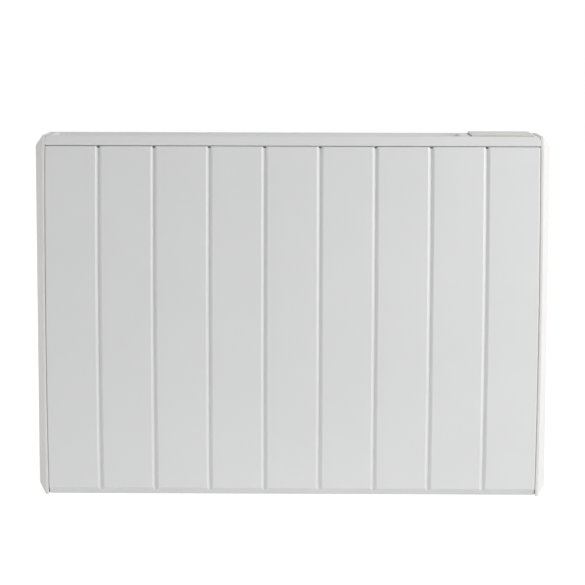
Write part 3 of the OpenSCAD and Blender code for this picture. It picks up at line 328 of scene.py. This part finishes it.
def evenly(count, pitch):
    """Places of like things in a row, about the row's middle."""
    return [(k - (count - 1) / 2) * pitch for k in range(count)]


groove_middles = evenly(groove_count, groove_pitch)


def sag(z):
    """How far the bowed front stands out at a height."""
    radius = (half_height ** 2 + front_bow ** 2) / (2 * front_bow)
    return sqrt(radius ** 2 - min(abs(z), half_height) ** 2) - radius + front_bow


def bowed(x, y, z):
    """Moves a point of the front with the bow, and leaves the side returns' rear edge where it is."""
    return x, y - sag(z) * min(1, max(0, (return_back - y) / bow_fade)), z


def deeper(depth, other):
    """The greater of two depths, eased where they are alike."""
    return (depth ** 8 + other ** 8) ** (1 / 8)


def arc_points(before, corner, after, radius, steps):
    """Points of the arc that rounds a corner of a path in one plane."""
    a, p, b = (Vector((*point, 0)) for point in (before, corner, after))
    u, v = (a - p).normalized(), (b - p).normalized()
    half_angle = u.angle(v) / 2
    centre = p + (u + v).normalized() * (radius / sin(half_angle))
    reach = radius / tan(half_angle)
    start, end = p + u * reach - centre, p + v * reach - centre
    sweep = start.angle(end) * (1 if start.cross(end).z > 0 else -1)
    turns = [Matrix.Rotation(sweep * k / steps, 3, "Z") for k in range(steps + 1)]
    return [tuple((centre + turn @ start).xy) for turn in turns]


def bent_rows(points):
    """Rows of a sheet folded towards its own left, in lists: its start, each fold and its end.
    A row is (y, z, inward y, inward z)."""
    corners = [Vector(point) for point in points]
    out, home = (corners[1] - corners[0]).normalized(), (corners[-1] - corners[-2]).normalized()
    folds = []
    for before, corner, after in zip(corners, corners[1:], corners[2:]):
        arc = arc_points(before, corner, after, bend, fold_steps)
        along = (corner - before).normalized()
        centre = Vector(arc[0]) + bend * Vector((-along.y, along.x))
        folds.append([(*point, *(centre - Vector(point)).normalized()) for point in arc])
    return [[(*corners[0], -out.y, out.x)], *folds, [(*corners[-1], -home.y, home.x)]]


def between(first, last, shares):
    """Rows at these shares of the way from one row to another."""
    return [tuple(a + (b - a) * share for a, b in zip(first, last)) for share in shares]


def groove_profile(steps=6):
    """Half a groove from its middle outward: (distance, depth) with a rounded valley and shoulder."""
    bottom, rim, flat = (0, groove_depth), (groove_half, 0), (2 * groove_half, 0)
    valley = arc_points((-groove_half, 0), bottom, rim, bend - sheet, 2 * steps)
    return valley[steps:] + [wall_turn] + arc_points(bottom, rim, flat, groove_shoulder, steps)


def panel_columns():
    """(x, groove depth) across the panel's face, between its two end folds."""
    half_groove = groove_profile()
    columns = [(-panel_x + bend, 0.0)]
    for middle in groove_middles:
        columns += [(middle - distance, depth) for distance, depth in reversed(half_groove)]
        columns += [(middle + distance, depth) for distance, depth in half_groove[1:]]
    return columns + [(panel_x - bend, 0.0)]


def panel_net():
    """Lines of the panel's outer skin, from the upper flange over the face and lip to the lower flange."""
    section = [(flange_back, panel_top), (face_y, panel_top), (face_y, lip_top),
               (face_y + lip_run, panel_foot), (foot_back, panel_foot)]
    [top], over, lip, foot, [end] = bent_rows(section)
    flange = [top, *between(top, over[0], flange_shares)]
    face = between(over[-1], lip[0], face_shares)
    slope = between(lip[-1], foot[0], lip_shares)
    to_return = (return_back - foot[-1][0]) / (foot_back - foot[-1][0])
    under = between(foot[-1], end, [*(to_return * share for share in return_shares), foot_share])
    rows = flange + over + face + lip + slope + foot + under + [end]
    first_walled = len(flange) + len(over) - 1
    last_walled = len(rows) - len(under) - 2
    fold_angles = [radians(90) * k / fold_steps for k in range(fold_steps, 0, -1)]
    columns = panel_columns()
    net = []
    for index, (y, z, ny, nz) in enumerate(rows):
        side = []
        if first_walled <= index <= last_walled:
            start = y + ny * bend
            side += [(panel_x, start + (return_back - start) * share, z + nz * bend)
                     for share in reversed(return_shares)]
        for angle in fold_angles:
            drop = bend * (1 - cos(angle))
            side.append((panel_x - bend + bend * sin(angle), y + ny * drop, z + nz * drop))
        if index < first_walled:
            pressed = min(1, (y - flange_back) / (face_y + bend - flange_back))
            middle = [(x, y + groove * pressed, z) for x, groove in columns]
        else:
            middle = [(x, face_y + deeper(groove, y - face_y), z) for x, groove in columns]
        mirrored = [(-x, side_y, side_z) for x, side_y, side_z in side]
        net.append([bowed(*point) for point in mirrored + middle + side[::-1]])
    return net


def woven(lines):
    """Points and quads of a net whose lines are centred on each other and may differ in length."""
    points, starts = [], []
    for line in lines:
        starts.append(len(points))
        points += line
    quads = []
    for (a, first), (b, second) in zip(zip(starts, lines), zip(starts[1:], lines[1:])):
        shared = min(len(first), len(second))
        a += (len(first) - shared) // 2
        b += (len(second) - shared) // 2
        quads += [(a + k, a + k + 1, b + k + 1, b + k) for k in range(shared - 1)]
    return points, quads


def face_middle(points, face):
    """Middle of a face."""
    return sum((Vector(points[corner]) for corner in face), Vector()) / len(face)


def clear_of_notches(x, y, z):
    """Whether a point of the panel's skin lies outside the relief notches."""
    off_groove = min(abs(x - middle) for middle in groove_middles)
    return off_groove > notch_half or z < panel_top - notch_height or y > face_y + notch_reach


def finished(mesh, shell, finish):
    """Puts a shell into its mesh, gives it a finish and sets it in the scene under the mesh's name."""
    shell.to_mesh(mesh)
    shell.free()
    mesh.materials.append(finish)
    piece = bpy.data.objects.new(mesh.name, mesh)
    scene.collection.objects.link(piece)
    return piece


def place_piece(name, points, faces, finish):
    """A piece from points in millimetres, its doubled points joined and its faces turned outward."""
    mesh = bpy.data.meshes.new(name)
    mesh.from_pydata([Vector(point) / 1000 for point in points], [], faces)
    shell = bmesh.new()
    shell.from_mesh(mesh)
    bmesh.ops.remove_doubles(shell, verts=shell.verts, dist=2e-6)
    bmesh.ops.dissolve_degenerate(shell, edges=shell.edges, dist=1e-7)
    bmesh.ops.recalc_face_normals(shell, faces=shell.faces)
    middle = sum((v.co for v in shell.verts), Vector()) / len(shell.verts)
    outward = sum(f.normal.dot(f.calc_center_median() - middle) * f.calc_area() for f in shell.faces)
    if outward < 0:
        bmesh.ops.reverse_faces(shell, faces=shell.faces)
    return finished(mesh, shell, finish)


def thicken(piece, thickness):
    """Gives a skin the sheet's or the moulding's thickness, in millimetres, towards the inside."""
    wall = piece.modifiers.new("wall", "SOLIDIFY")
    wall.thickness = thickness / 1000
    wall.offset = -1
    wall.use_even_offset = True
    wall.use_quality_normals = True


def settle(piece):
    """Works the modifiers into the mesh, then shades it smooth but for its crisp edges."""
    shaped = bpy.data.meshes.new_from_object(piece.evaluated_get(bpy.context.evaluated_depsgraph_get()))
    piece.modifiers.clear()
    piece.data = shaped
    shaped.polygons.foreach_set("use_smooth", [True] * len(shaped.polygons))
    shaped.set_sharp_from_angle(angle=crisp)
    shading = piece.modifiers.new("shading", "WEIGHTED_NORMAL")
    shading.keep_sharp = True
    shading.weight = 100


points, quads = woven(panel_net())
kept = [quad for quad in quads if clear_of_notches(*face_middle(points, quad))]
panel = place_piece("panel_sheet", points, kept, powder_coat)
thicken(panel, sheet)
settle(panel)
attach(panel, "heater")
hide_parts("front_panel")

# Top casing: one folded sheet of 1 mm steel with a plain band above the panel, closed ends and a short rear
# flange. A shallow recess with steep walls is pressed in for the grille, and a cut-out takes the controls.
band_low, band_back = 249.5, -102.0         # lower edge of the band, and how far it is folded back under
casing_rear = -16.3             # outside of the rear flange
upper_corner = 6.0              # radius of the body's upper corners, seen from the front
recess_x, recess_y = (-347.0, 245.0), (-102.0, -28.0)
pocket_x, pocket_y = (256.5, 348.5), (-105.5, -21.0)
recess_wall = [(0, 0), (0.25, 0.06), (0.6, 0.25), (0.95, 0.6), (1.2, 1.1), (2.0, 3.6), (2.3, 3.9), (2.7, 4.0),
               (9.0, 4.0)]      # (distance in from the recess's edge, depth)
grille_edge = recess_wall[-1][0]            # the recess's floor is open inside this distance
end_edge = 0.8                  # radius of the band's upright end edges
end_round = [(0, 1), (0.1, 0.45), (0.45, 0.1), (1, 0)]      # their outline, (inwards, back) in radii
band_shares = [0.15, 0.3, 0.45, 0.7]        # rows of the net down the band
top_layer = 5.0                 # what lies this near the top's height belongs to the top


def corner_lean(z):
    """How far the body's end stands in at a height, where its upper corner is rounded."""
    up = max(0, z - half_height + upper_corner)
    return upper_corner - sqrt(max(0, upper_corner ** 2 - up ** 2))


def recess_depth(x, y):
    """Depth of the pressed recess at a place of the top."""
    inside = min(x - recess_x[0], recess_x[1] - x, y - recess_y[0], recess_y[1] - y)
    for (d0, f0), (d1, f1) in zip(recess_wall, recess_wall[1:]):
        if inside <= d1 + 1e-9:
            return f0 + (f1 - f0) * max(0, inside - d0) / (d1 - d0)
    return recess_wall[-1][1]


def rear_row(z):
    """Row of the casing's rear fold and flange at a height."""
    up = max(0, z - half_height + bend)
    out = sqrt(max(0, bend ** 2 - up ** 2))
    return casing_rear - bend + out, z, -out / bend, -up / bend


def joined(parts):
    """Points and faces of several parts as one list each."""
    points, faces = [], []
    for more_points, more_faces in parts:
        start = len(points)
        points += more_points
        faces += [[start + corner for corner in face] for face in more_faces]
    return points, faces


def casing_skin(rows, walls):
    """Net from the rear flange over the top and the band, with closer lines at the recess's walls."""
    inner = [recess_x[0] + d for d in walls] + [recess_x[1] - d for d in reversed(walls)] + [*pocket_x]
    lines = []
    for y, z, ny, nz in rows:
        limit = panel_x - corner_lean(z)
        edge = [(limit - within * end_edge, y + ny * back * end_edge, z) for within, back in end_round]
        line = [(-x, edge_y, z) for x, edge_y, _ in edge]
        line += [(x, y, z - (recess_depth(x, y) if nz == -1 else 0)) for x in inner]
        lines.append(line + edge[::-1])
    return woven(lines)


def casing_end(side, rear, levels, shares):
    """Net of one closed end, between the rear flange and the band."""
    lines = []
    for (rear_y, z, rear_in, _), (front_y, _, front_in, _) in zip(rear, levels):
        start, stop = rear_y + rear_in * end_edge, front_y + front_in * end_edge
        lines.append([(side * (panel_x - corner_lean(z)), start + (stop - start) * t, z) for t in shares])
    return woven(lines)


def open_top(x, y, z):
    """Whether a place of the casing lies in the grille's opening or in the controls' cut-out."""
    opening = (recess_x[0] + grille_edge < x < recess_x[1] - grille_edge
               and recess_y[0] + grille_edge < y < recess_y[1] - grille_edge)
    cut_out = pocket_x[0] < x < pocket_x[1] and pocket_y[0] < y < pocket_y[1]
    return z >= half_height - top_layer and (opening or cut_out)


def casing_mesh():
    """Outer skin of the casing, open for the grille and the controls."""
    top_middle = (recess_y[0] + recess_y[1]) / 2
    _, over, under, [end] = bent_rows([(top_middle, half_height), (face_y, half_height),
                                       (face_y - sag(band_low), band_low), (band_back, band_low)])
    levels = over + between(over[-1], under[0], band_shares) + under[:1]
    rear = [rear_row(z) for _, z, _, _ in levels]
    walls = [distance for distance, _ in recess_wall]
    top_y = [pocket_y[1], *(recess_y[1] - d for d in walls), *(recess_y[0] + d for d in reversed(walls)),
             pocket_y[0]]
    top = [(y, half_height, 0, -1) for y in top_y]
    rear_y, front_y = rear[0][0], levels[0][0]
    shares = [(y - rear_y) / (front_y - rear_y) for y in [rear_y, *top_y, front_y]]
    skin = casing_skin(rear[::-1] + top + levels + under[1:] + [end], walls)
    points, faces = joined([skin, *(casing_end(side, rear, levels, shares) for side in (-1, 1))])
    return points, [face for face in faces if not open_top(*face_middle(points, face))]


casing = place_piece("casing_sheet", *casing_mesh(), powder_coat)
thicken(casing, sheet)
settle(casing)
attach(casing, "heater")
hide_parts("top_casing")

# Outlet grille: one white moulding of seven lengthwise blades on cross ribs, in a flanged frame that is held
# up under the lip of the casing's recess. The blades' upper edges are rounded.
white_moulding = grained("warm_white_moulding", (0.770, 0.762, 0.745), (0.792, 0.784, 0.768), (0.42, 0.52))
louvre_top, louvre_low = 259.0, 251.0
louvre_x0, louvre_x1, louvre_y0, louvre_y1 = -336.0, 234.0, -91.0, -39.0        # inside of the frame
blade_count, blade_pitch, blade_half = 7, 6.5, 0.8
blade_foot = 0.3                # width of the sloped lower edges
rib_count, rib_half = 8, 1.0
rib_low, rib_top = louvre_low + 0.2, louvre_top - 2
into_frame = 1.0                # blades and ribs run this far into the frame
flange_low = louvre_top - 1.5
frame_section = [(0, louvre_low + 0.4), (0.4, louvre_low), (1.6, louvre_low), (2, louvre_low + 0.4),
                 (2, flange_low), (4.7, flange_low), (5, flange_low + 0.3), (5, louvre_top - 0.3),
                 (4.7, louvre_top), (0.5, louvre_top), (0.15, louvre_top - 0.15), (0, louvre_top - 0.5)]


def block(x0, x1, y0, y1, z0, z1):
    """A plain rib between these planes."""
    points = [(x, y, z) for z in (z0, z1) for y in (y0, y1) for x in (x0, x1)]
    return points, [(0, 2, 3, 1), (4, 5, 7, 6), (0, 1, 5, 4), (1, 3, 7, 5), (3, 2, 6, 7), (2, 0, 4, 6)]


def band_faces(first, second, count):
    """Quads between two closed rings of points, from the numbers of their first points."""
    return [(first + k, first + (k + 1) % count, second + (k + 1) % count, second + k) for k in range(count)]


def frame_ring(section):
    """Closed frame whose section is a list of (outward distance, z) pairs."""
    corners = [(louvre_x0, louvre_y0, -1, -1), (louvre_x1, louvre_y0, 1, -1),
               (louvre_x1, louvre_y1, 1, 1), (louvre_x0, louvre_y1, -1, 1)]
    points = [(x + dx * out, y + dy * out, z) for x, y, dx, dy in corners for out, z in section]
    count = len(section)
    faces = [face for c in range(4) for face in band_faces(c * count, (c + 1) % 4 * count, count)]
    return points, faces


def blade(middle_y):
    """One blade with a rounded upper edge, from frame to frame."""
    half, round_z = blade_half, louvre_top - blade_half
    section = [(-half + blade_foot, louvre_low), (-half, louvre_low + blade_foot), (-half, round_z)]
    section += [(-half * cos(radians(a)), round_z + half * sin(radians(a))) for a in range(30, 180, 30)]
    section += [(half, round_z), (half, louvre_low + blade_foot), (half - blade_foot, louvre_low)]
    count = len(section)
    ends = (louvre_x0 - into_frame, louvre_x1 + into_frame)
    points = [(x, middle_y + y, z) for x in ends for y, z in section]
    return points, band_faces(0, count, count) + [list(range(count)), list(range(count, 2 * count))]


def apart(parts):
    """Puts closed parts into one shell after turning each one's faces outward."""
    shell = bmesh.new()
    for points, faces in parts:
        corners = [shell.verts.new(Vector(point) / 1000) for point in points]
        new_faces = [shell.faces.new([corners[number] for number in face]) for face in faces]
        bmesh.ops.recalc_face_normals(shell, faces=new_faces)
    return shell


rib_pitch = (louvre_x1 - louvre_x0) / (rib_count + 1)
rib_middles = [louvre_x0 + k * rib_pitch for k in range(1, rib_count + 1)]
ribs = [block(x - rib_half, x + rib_half, louvre_y0 - into_frame, louvre_y1 + into_frame, rib_low, rib_top)
        for x in rib_middles]
grille_y = (louvre_y0 + louvre_y1) / 2
blades = [blade(grille_y + y) for y in evenly(blade_count, blade_pitch)]
louvre_shell = apart([frame_ring(frame_section), *ribs, *blades])
louvre = finished(bpy.data.meshes.new("outlet_louvre"), louvre_shell, white_moulding)
settle(louvre)
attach(louvre, "heater")
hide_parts("outlet_grille")

# Controls' tray, box and board: the tray hangs in the casing's cut-out and holds the lid's hinge, and the box
# under it covers the board with its five switches. Tray and box are matt grey mouldings.
grey = grained("matt_grey_moulding", (0.18, 0.18, 0.185), (0.22, 0.22, 0.225), (0.45, 0.6))
dress(["control_fascia", "control_housing"], grey, 0.2)
dress(["control_board"], solder_mask, 0.2)
dress(["tact_switches"], matt_black, 0.1)

# Push buttons: round moulded caps with a dished top and a rounded edge, on a collar and a stem under the
# tray's floor. Their marks are printed on the top: standby, back, minus, plus and enter.
button_grey = grained("satin_button_grey", (0.42, 0.42, 0.43), (0.48, 0.48, 0.49), (0.32, 0.45),
                      colour_scale=150, gloss_scale=300)
mark_ink = grained("white_mark_ink", (0.80, 0.80, 0.80), (0.86, 0.86, 0.86), (0.5, 0.6), colour_scale=400)
keypad_x = 302.5                # middle of the controls
button_y, button_pitch = -86.0, 16.0
button_top, button_r = 259.5, 4.5
dish_r, dish = 3.9, 0.45
edge_r = button_r - dish_r
collar_top, collar_low, collar_r = 254.9, 253.9, 5.5
stem_low, stem_r = 253.4, 2.0
chamfer = 0.1
axis_r = 0.01                   # the turned outline starts and ends this near to its axis
ink_width = 0.5
ink_low, ink_top = button_top - 0.5, button_top - 0.26
turned = [(r, button_top - dish * (1 - (r / dish_r) ** 2)) for r in (axis_r, 1.0, 2.0, 3.0, dish_r)]
turned += [(dish_r + edge_r * sin(radians(a)), button_top - edge_r + edge_r * cos(radians(a)))
           for a in (30, 60, 90)]
turned += [(button_r, collar_top + 2 * chamfer), (button_r + chamfer, collar_top),
           (collar_r - chamfer, collar_top), (collar_r, collar_top - chamfer),
           (collar_r, collar_low + chamfer), (collar_r - chamfer, collar_low),
           (stem_r, collar_low), (stem_r, stem_low + chamfer),
           (stem_r - chamfer, stem_low), (axis_r, stem_low)]


def turned_mesh(x, y, profile, steps=48):
    """Closed piece turned about an upright axis from (radius, z) pairs."""
    points = [(x + r * cos(2 * pi * k / steps), y + r * sin(2 * pi * k / steps), z)
              for r, z in profile for k in range(steps)]
    last = (len(profile) - 1) * steps
    faces = [face for a in range(0, last, steps) for face in band_faces(a, a + steps, steps)]
    return points, faces + [list(range(steps)), list(range(last, last + steps))]


def stroke(path, width, x, y, low, high):
    """Slab under a pen stroke along a path, with square ends, placed about (x, y)."""
    left, right = [], []
    for k, point in enumerate(path):
        a = Vector(path[max(k, 1) - 1])
        b = Vector(path[min(k + 1, len(path) - 1)])
        along = (b - a).normalized()
        across = Vector((-along.y, along.x)) * width / 2
        left.append(Vector(point) + across)
        right.append(Vector(point) - across)
    rim = [*left, *reversed(right)]
    count = len(rim)
    points = [(x + p.x, y + p.y, z) for z in (low, high) for p in rim]
    faces = band_faces(0, count, count)
    for base in (0, count):
        last = base + count - 1
        faces += [(base + k, base + k + 1, last - k - 1, last - k) for k in range(len(path) - 1)]
    return points, faces


standby_arc = [(1.5 * sin(radians(a)), 1.5 * cos(radians(a))) for a in range(40, 321, 20)]
marks = {                       # the pen strokes of each mark, about its button's middle
    "standby": [standby_arc, [(0, 0.5), (0, 2.1)]],
    "back": [[(0.7, 1.5), (-0.8, 0), (0.7, -1.5)]],
    "minus": [[(-1.6, 0), (1.6, 0)]],
    "plus": [[(-1.6, 0), (1.6, 0)], [(0, -1.6), (0, 1.6)]],
    "enter": [[(-1.6, 0.1), (-0.5, -1.1), (1.6, 1.3)]],
}
for (word, strokes), shift in zip(marks.items(), evenly(len(marks), button_pitch)):
    x = keypad_x + shift
    body = word + "_button"
    button = place_piece(word + "_button_cap", *turned_mesh(x, button_y, turned), button_grey)
    settle(button)
    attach(button, body)
    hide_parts(body)
    inked = [stroke(path, ink_width, x, button_y, ink_low, ink_top) for path in strokes]
    mark = place_piece(word + "_mark", *joined(inked), mark_ink)
    settle(mark)
    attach(mark, body)

# Display: a dark module on the board, seen through a smoked window that is set flush into the tray's floor.
# Its segments show a room temperature of 21.0 degrees.
dark_glass = grained("dark_display_glass", (0.018, 0.022, 0.022), (0.030, 0.034, 0.034), (0.08, 0.16))
dress(["display_module"], dark_glass, 0.3)
smoked, tree, shader = new_finish("smoked_window")
smoke = shades(tree, noise_in(tree, 60), (0.50, 0.52, 0.52), (0.58, 0.60, 0.60))
tree.links.new(smoke, shader.inputs["Base Color"])
tree.links.new(spread_to(tree, noise_in(tree, 220, 4), 0.02, 0.09), shader.inputs["Roughness"])
relief(tree, noise_in(tree, 300), 0.000004, shader)
shader.inputs["Transmission Weight"].default_value = 1.0
shader.inputs["IOR"].default_value = 1.49
dress(["display_window"], smoked, 0.15)
segment_ink = grained("pale_display_segments", (0.55, 0.62, 0.58), (0.62, 0.70, 0.66), (0.3, 0.4),
                      colour_scale=300)
_, module_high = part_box("display_module")
segment_rise, segment_root = 0.08, 0.05     # the segments stand on the module and reach a little into it
digit_low, digit_high = module_high.z * 1000 - segment_root, module_high.z * 1000 + segment_rise
digit_y, digit_pitch, segment_width = -61.0, 9.0, 0.9
point_x, point_y, point_size = keypad_x + 4.5, -65.5, 1.0       # the decimal point
segment_paths = {
    "top": [(-2.2, 4.5), (2.2, 4.5)],
    "upper_left": [(-2.7, 4), (-2.7, 0.4)],
    "upper_right": [(2.7, 4), (2.7, 0.4)],
    "middle": [(-2.2, 0), (2.2, 0)],
    "lower_left": [(-2.7, -0.4), (-2.7, -4)],
    "lower_right": [(2.7, -0.4), (2.7, -4)],
    "low": [(-2.2, -4.5), (2.2, -4.5)],
}
# The lit segments of the digits 2, 1 and 0.
digits = [("top", "upper_right", "middle", "lower_left", "low"), ("upper_right", "lower_right"),
          ("top", "upper_left", "upper_right", "lower_left", "lower_right", "low")]
lit = [stroke(segment_paths[part], segment_width, keypad_x + shift, digit_y, digit_low, digit_high)
       for shown, shift in zip(digits, evenly(len(digits), digit_pitch)) for part in shown]
half_point = point_size / 2
lit.append(stroke([(-half_point, 0), (half_point, 0)], point_size, point_x, point_y, digit_low, digit_high))
segments = place_piece("display_segments", *joined(lit), segment_ink)
settle(segments)
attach(segments, "heater")

# Lid: one white moulding, a little warmer and darker than the grille, that covers the controls. It turns on
# two pins along its rear edge and lies raised above the top when it is shut.
lid_moulding = grained("warm_lid_moulding", (0.735, 0.725, 0.705), (0.757, 0.747, 0.728), (0.42, 0.52))
dress(["control_lid"], lid_moulding, 0.3)

# End caps: injection-moulded trays with a plain rim that carries on the panel's bow, and edges sloped all
# round up to a flat outer face. The front slope is widest at mid-height, where the bow stands out most.
rim_inner, rim_outer, cap_face = 357.25, 361.8, 372.3
rim_round, rim_edge, face_edge = 1.5, 1.2, 2.5      # rounding of the rim's two edges and of the face
rim_turn = 1.0                  # the rim's inner edge turns in this much further than its rounding
cap_slope = 15.0
face_in = 8.0                   # the outer face closes flat this far inside its edge
cap_back = -15.0
cap_corner = 3.0                # rounding of the cap's corners, seen from its end
cap_wall = 2.5
lean_limit = 1.5                # the cap follows the body's rounded upper corner this far
corner_steps = 5
slope_spans = 24


def rounded_path(points, radii, steps):
    """Open path in one plane with each inner corner rounded to its own radius."""
    path = [points[0]]
    for before, corner, after, radius in zip(points, points[1:], points[2:], radii):
        path += arc_points(before, corner, after, radius, steps)
    return path + [points[-1]]


def cap_slice(x, inset):
    """Outline of the cap seen from its end: up the front edge, over the top and down the back."""
    high = half_height - inset
    reach = max(0, 1 - inset / cap_slope)
    heights = [high * (2 * k / slope_spans - 1) for k in range(slope_spans + 1)]
    front = [(face_y + inset - front_bow * reach * (1 - (z / high) ** 2), z) for z in heights]
    corners = [front[-1], (cap_back - inset, high), (cap_back - inset, -high), front[0]]
    around = [front[-2], *corners, front[1]]
    line = front[1:-1]
    for before, corner, after in zip(around, corners, around[2:]):
        line += arc_points(before, corner, after, cap_corner, corner_steps)
    return [(x - min(lean_limit, corner_lean(z)), y, z) for y, z in line]


def cap_rows():
    """(x, inset) from the open inner edge of the rim over the slope to the outer face."""
    path = [(rim_inner, rim_round + rim_turn), (rim_inner, 0), (rim_outer, 0), (cap_face, cap_slope),
            (cap_face, cap_slope + face_in)]
    return rounded_path(path, [rim_round, rim_edge, face_edge], corner_steps)


def cap_mesh(side):
    """Skin of the cap on one side, closed by its outer face."""
    rows = [cap_slice(x, inset) for x, inset in cap_rows()]
    count = len(rows[0])
    last = (len(rows) - 1) * count
    points = [(side * x, y, z) for row in rows for x, y, z in row]
    faces = [face for a in range(0, last, count) for face in band_faces(a, a + count, count)]
    return points, faces + [list(range(last, last + count))]


for side, word in ((-1, "left"), (1, "right")):
    cap = place_piece(word + "_cap_moulding", *cap_mesh(side), white_moulding)
    thicken(cap, cap_wall)
    settle(cap)
    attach(cap, "heater")
    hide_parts(word + "_end_cap")

# Screws and pins: bright zinc-plated steel. The screws hold the casing to the side frames and the caps to
# the body, and the pins carry the lid and the two latches.
bright_zinc = grained("bright_zinc", (0.62, 0.63, 0.64), (0.70, 0.71, 0.72), (0.25, 0.4), metallic=1.0)
dress(["casing_screws", "end_cap_screws", "latch_pins", "lid_hinge_pins"], bright_zinc, 0.2)

# Wall bracket and latches: a folded steel plate with hooks, screwed to the wall and coated like the casing.
# The body hangs on its hooks, and two moulded latches turn on their pins to lock it there.
dress(["wall_bracket"], powder_coat, 0.2)
dress(["left_latch", "right_latch"], grey, 0.2)
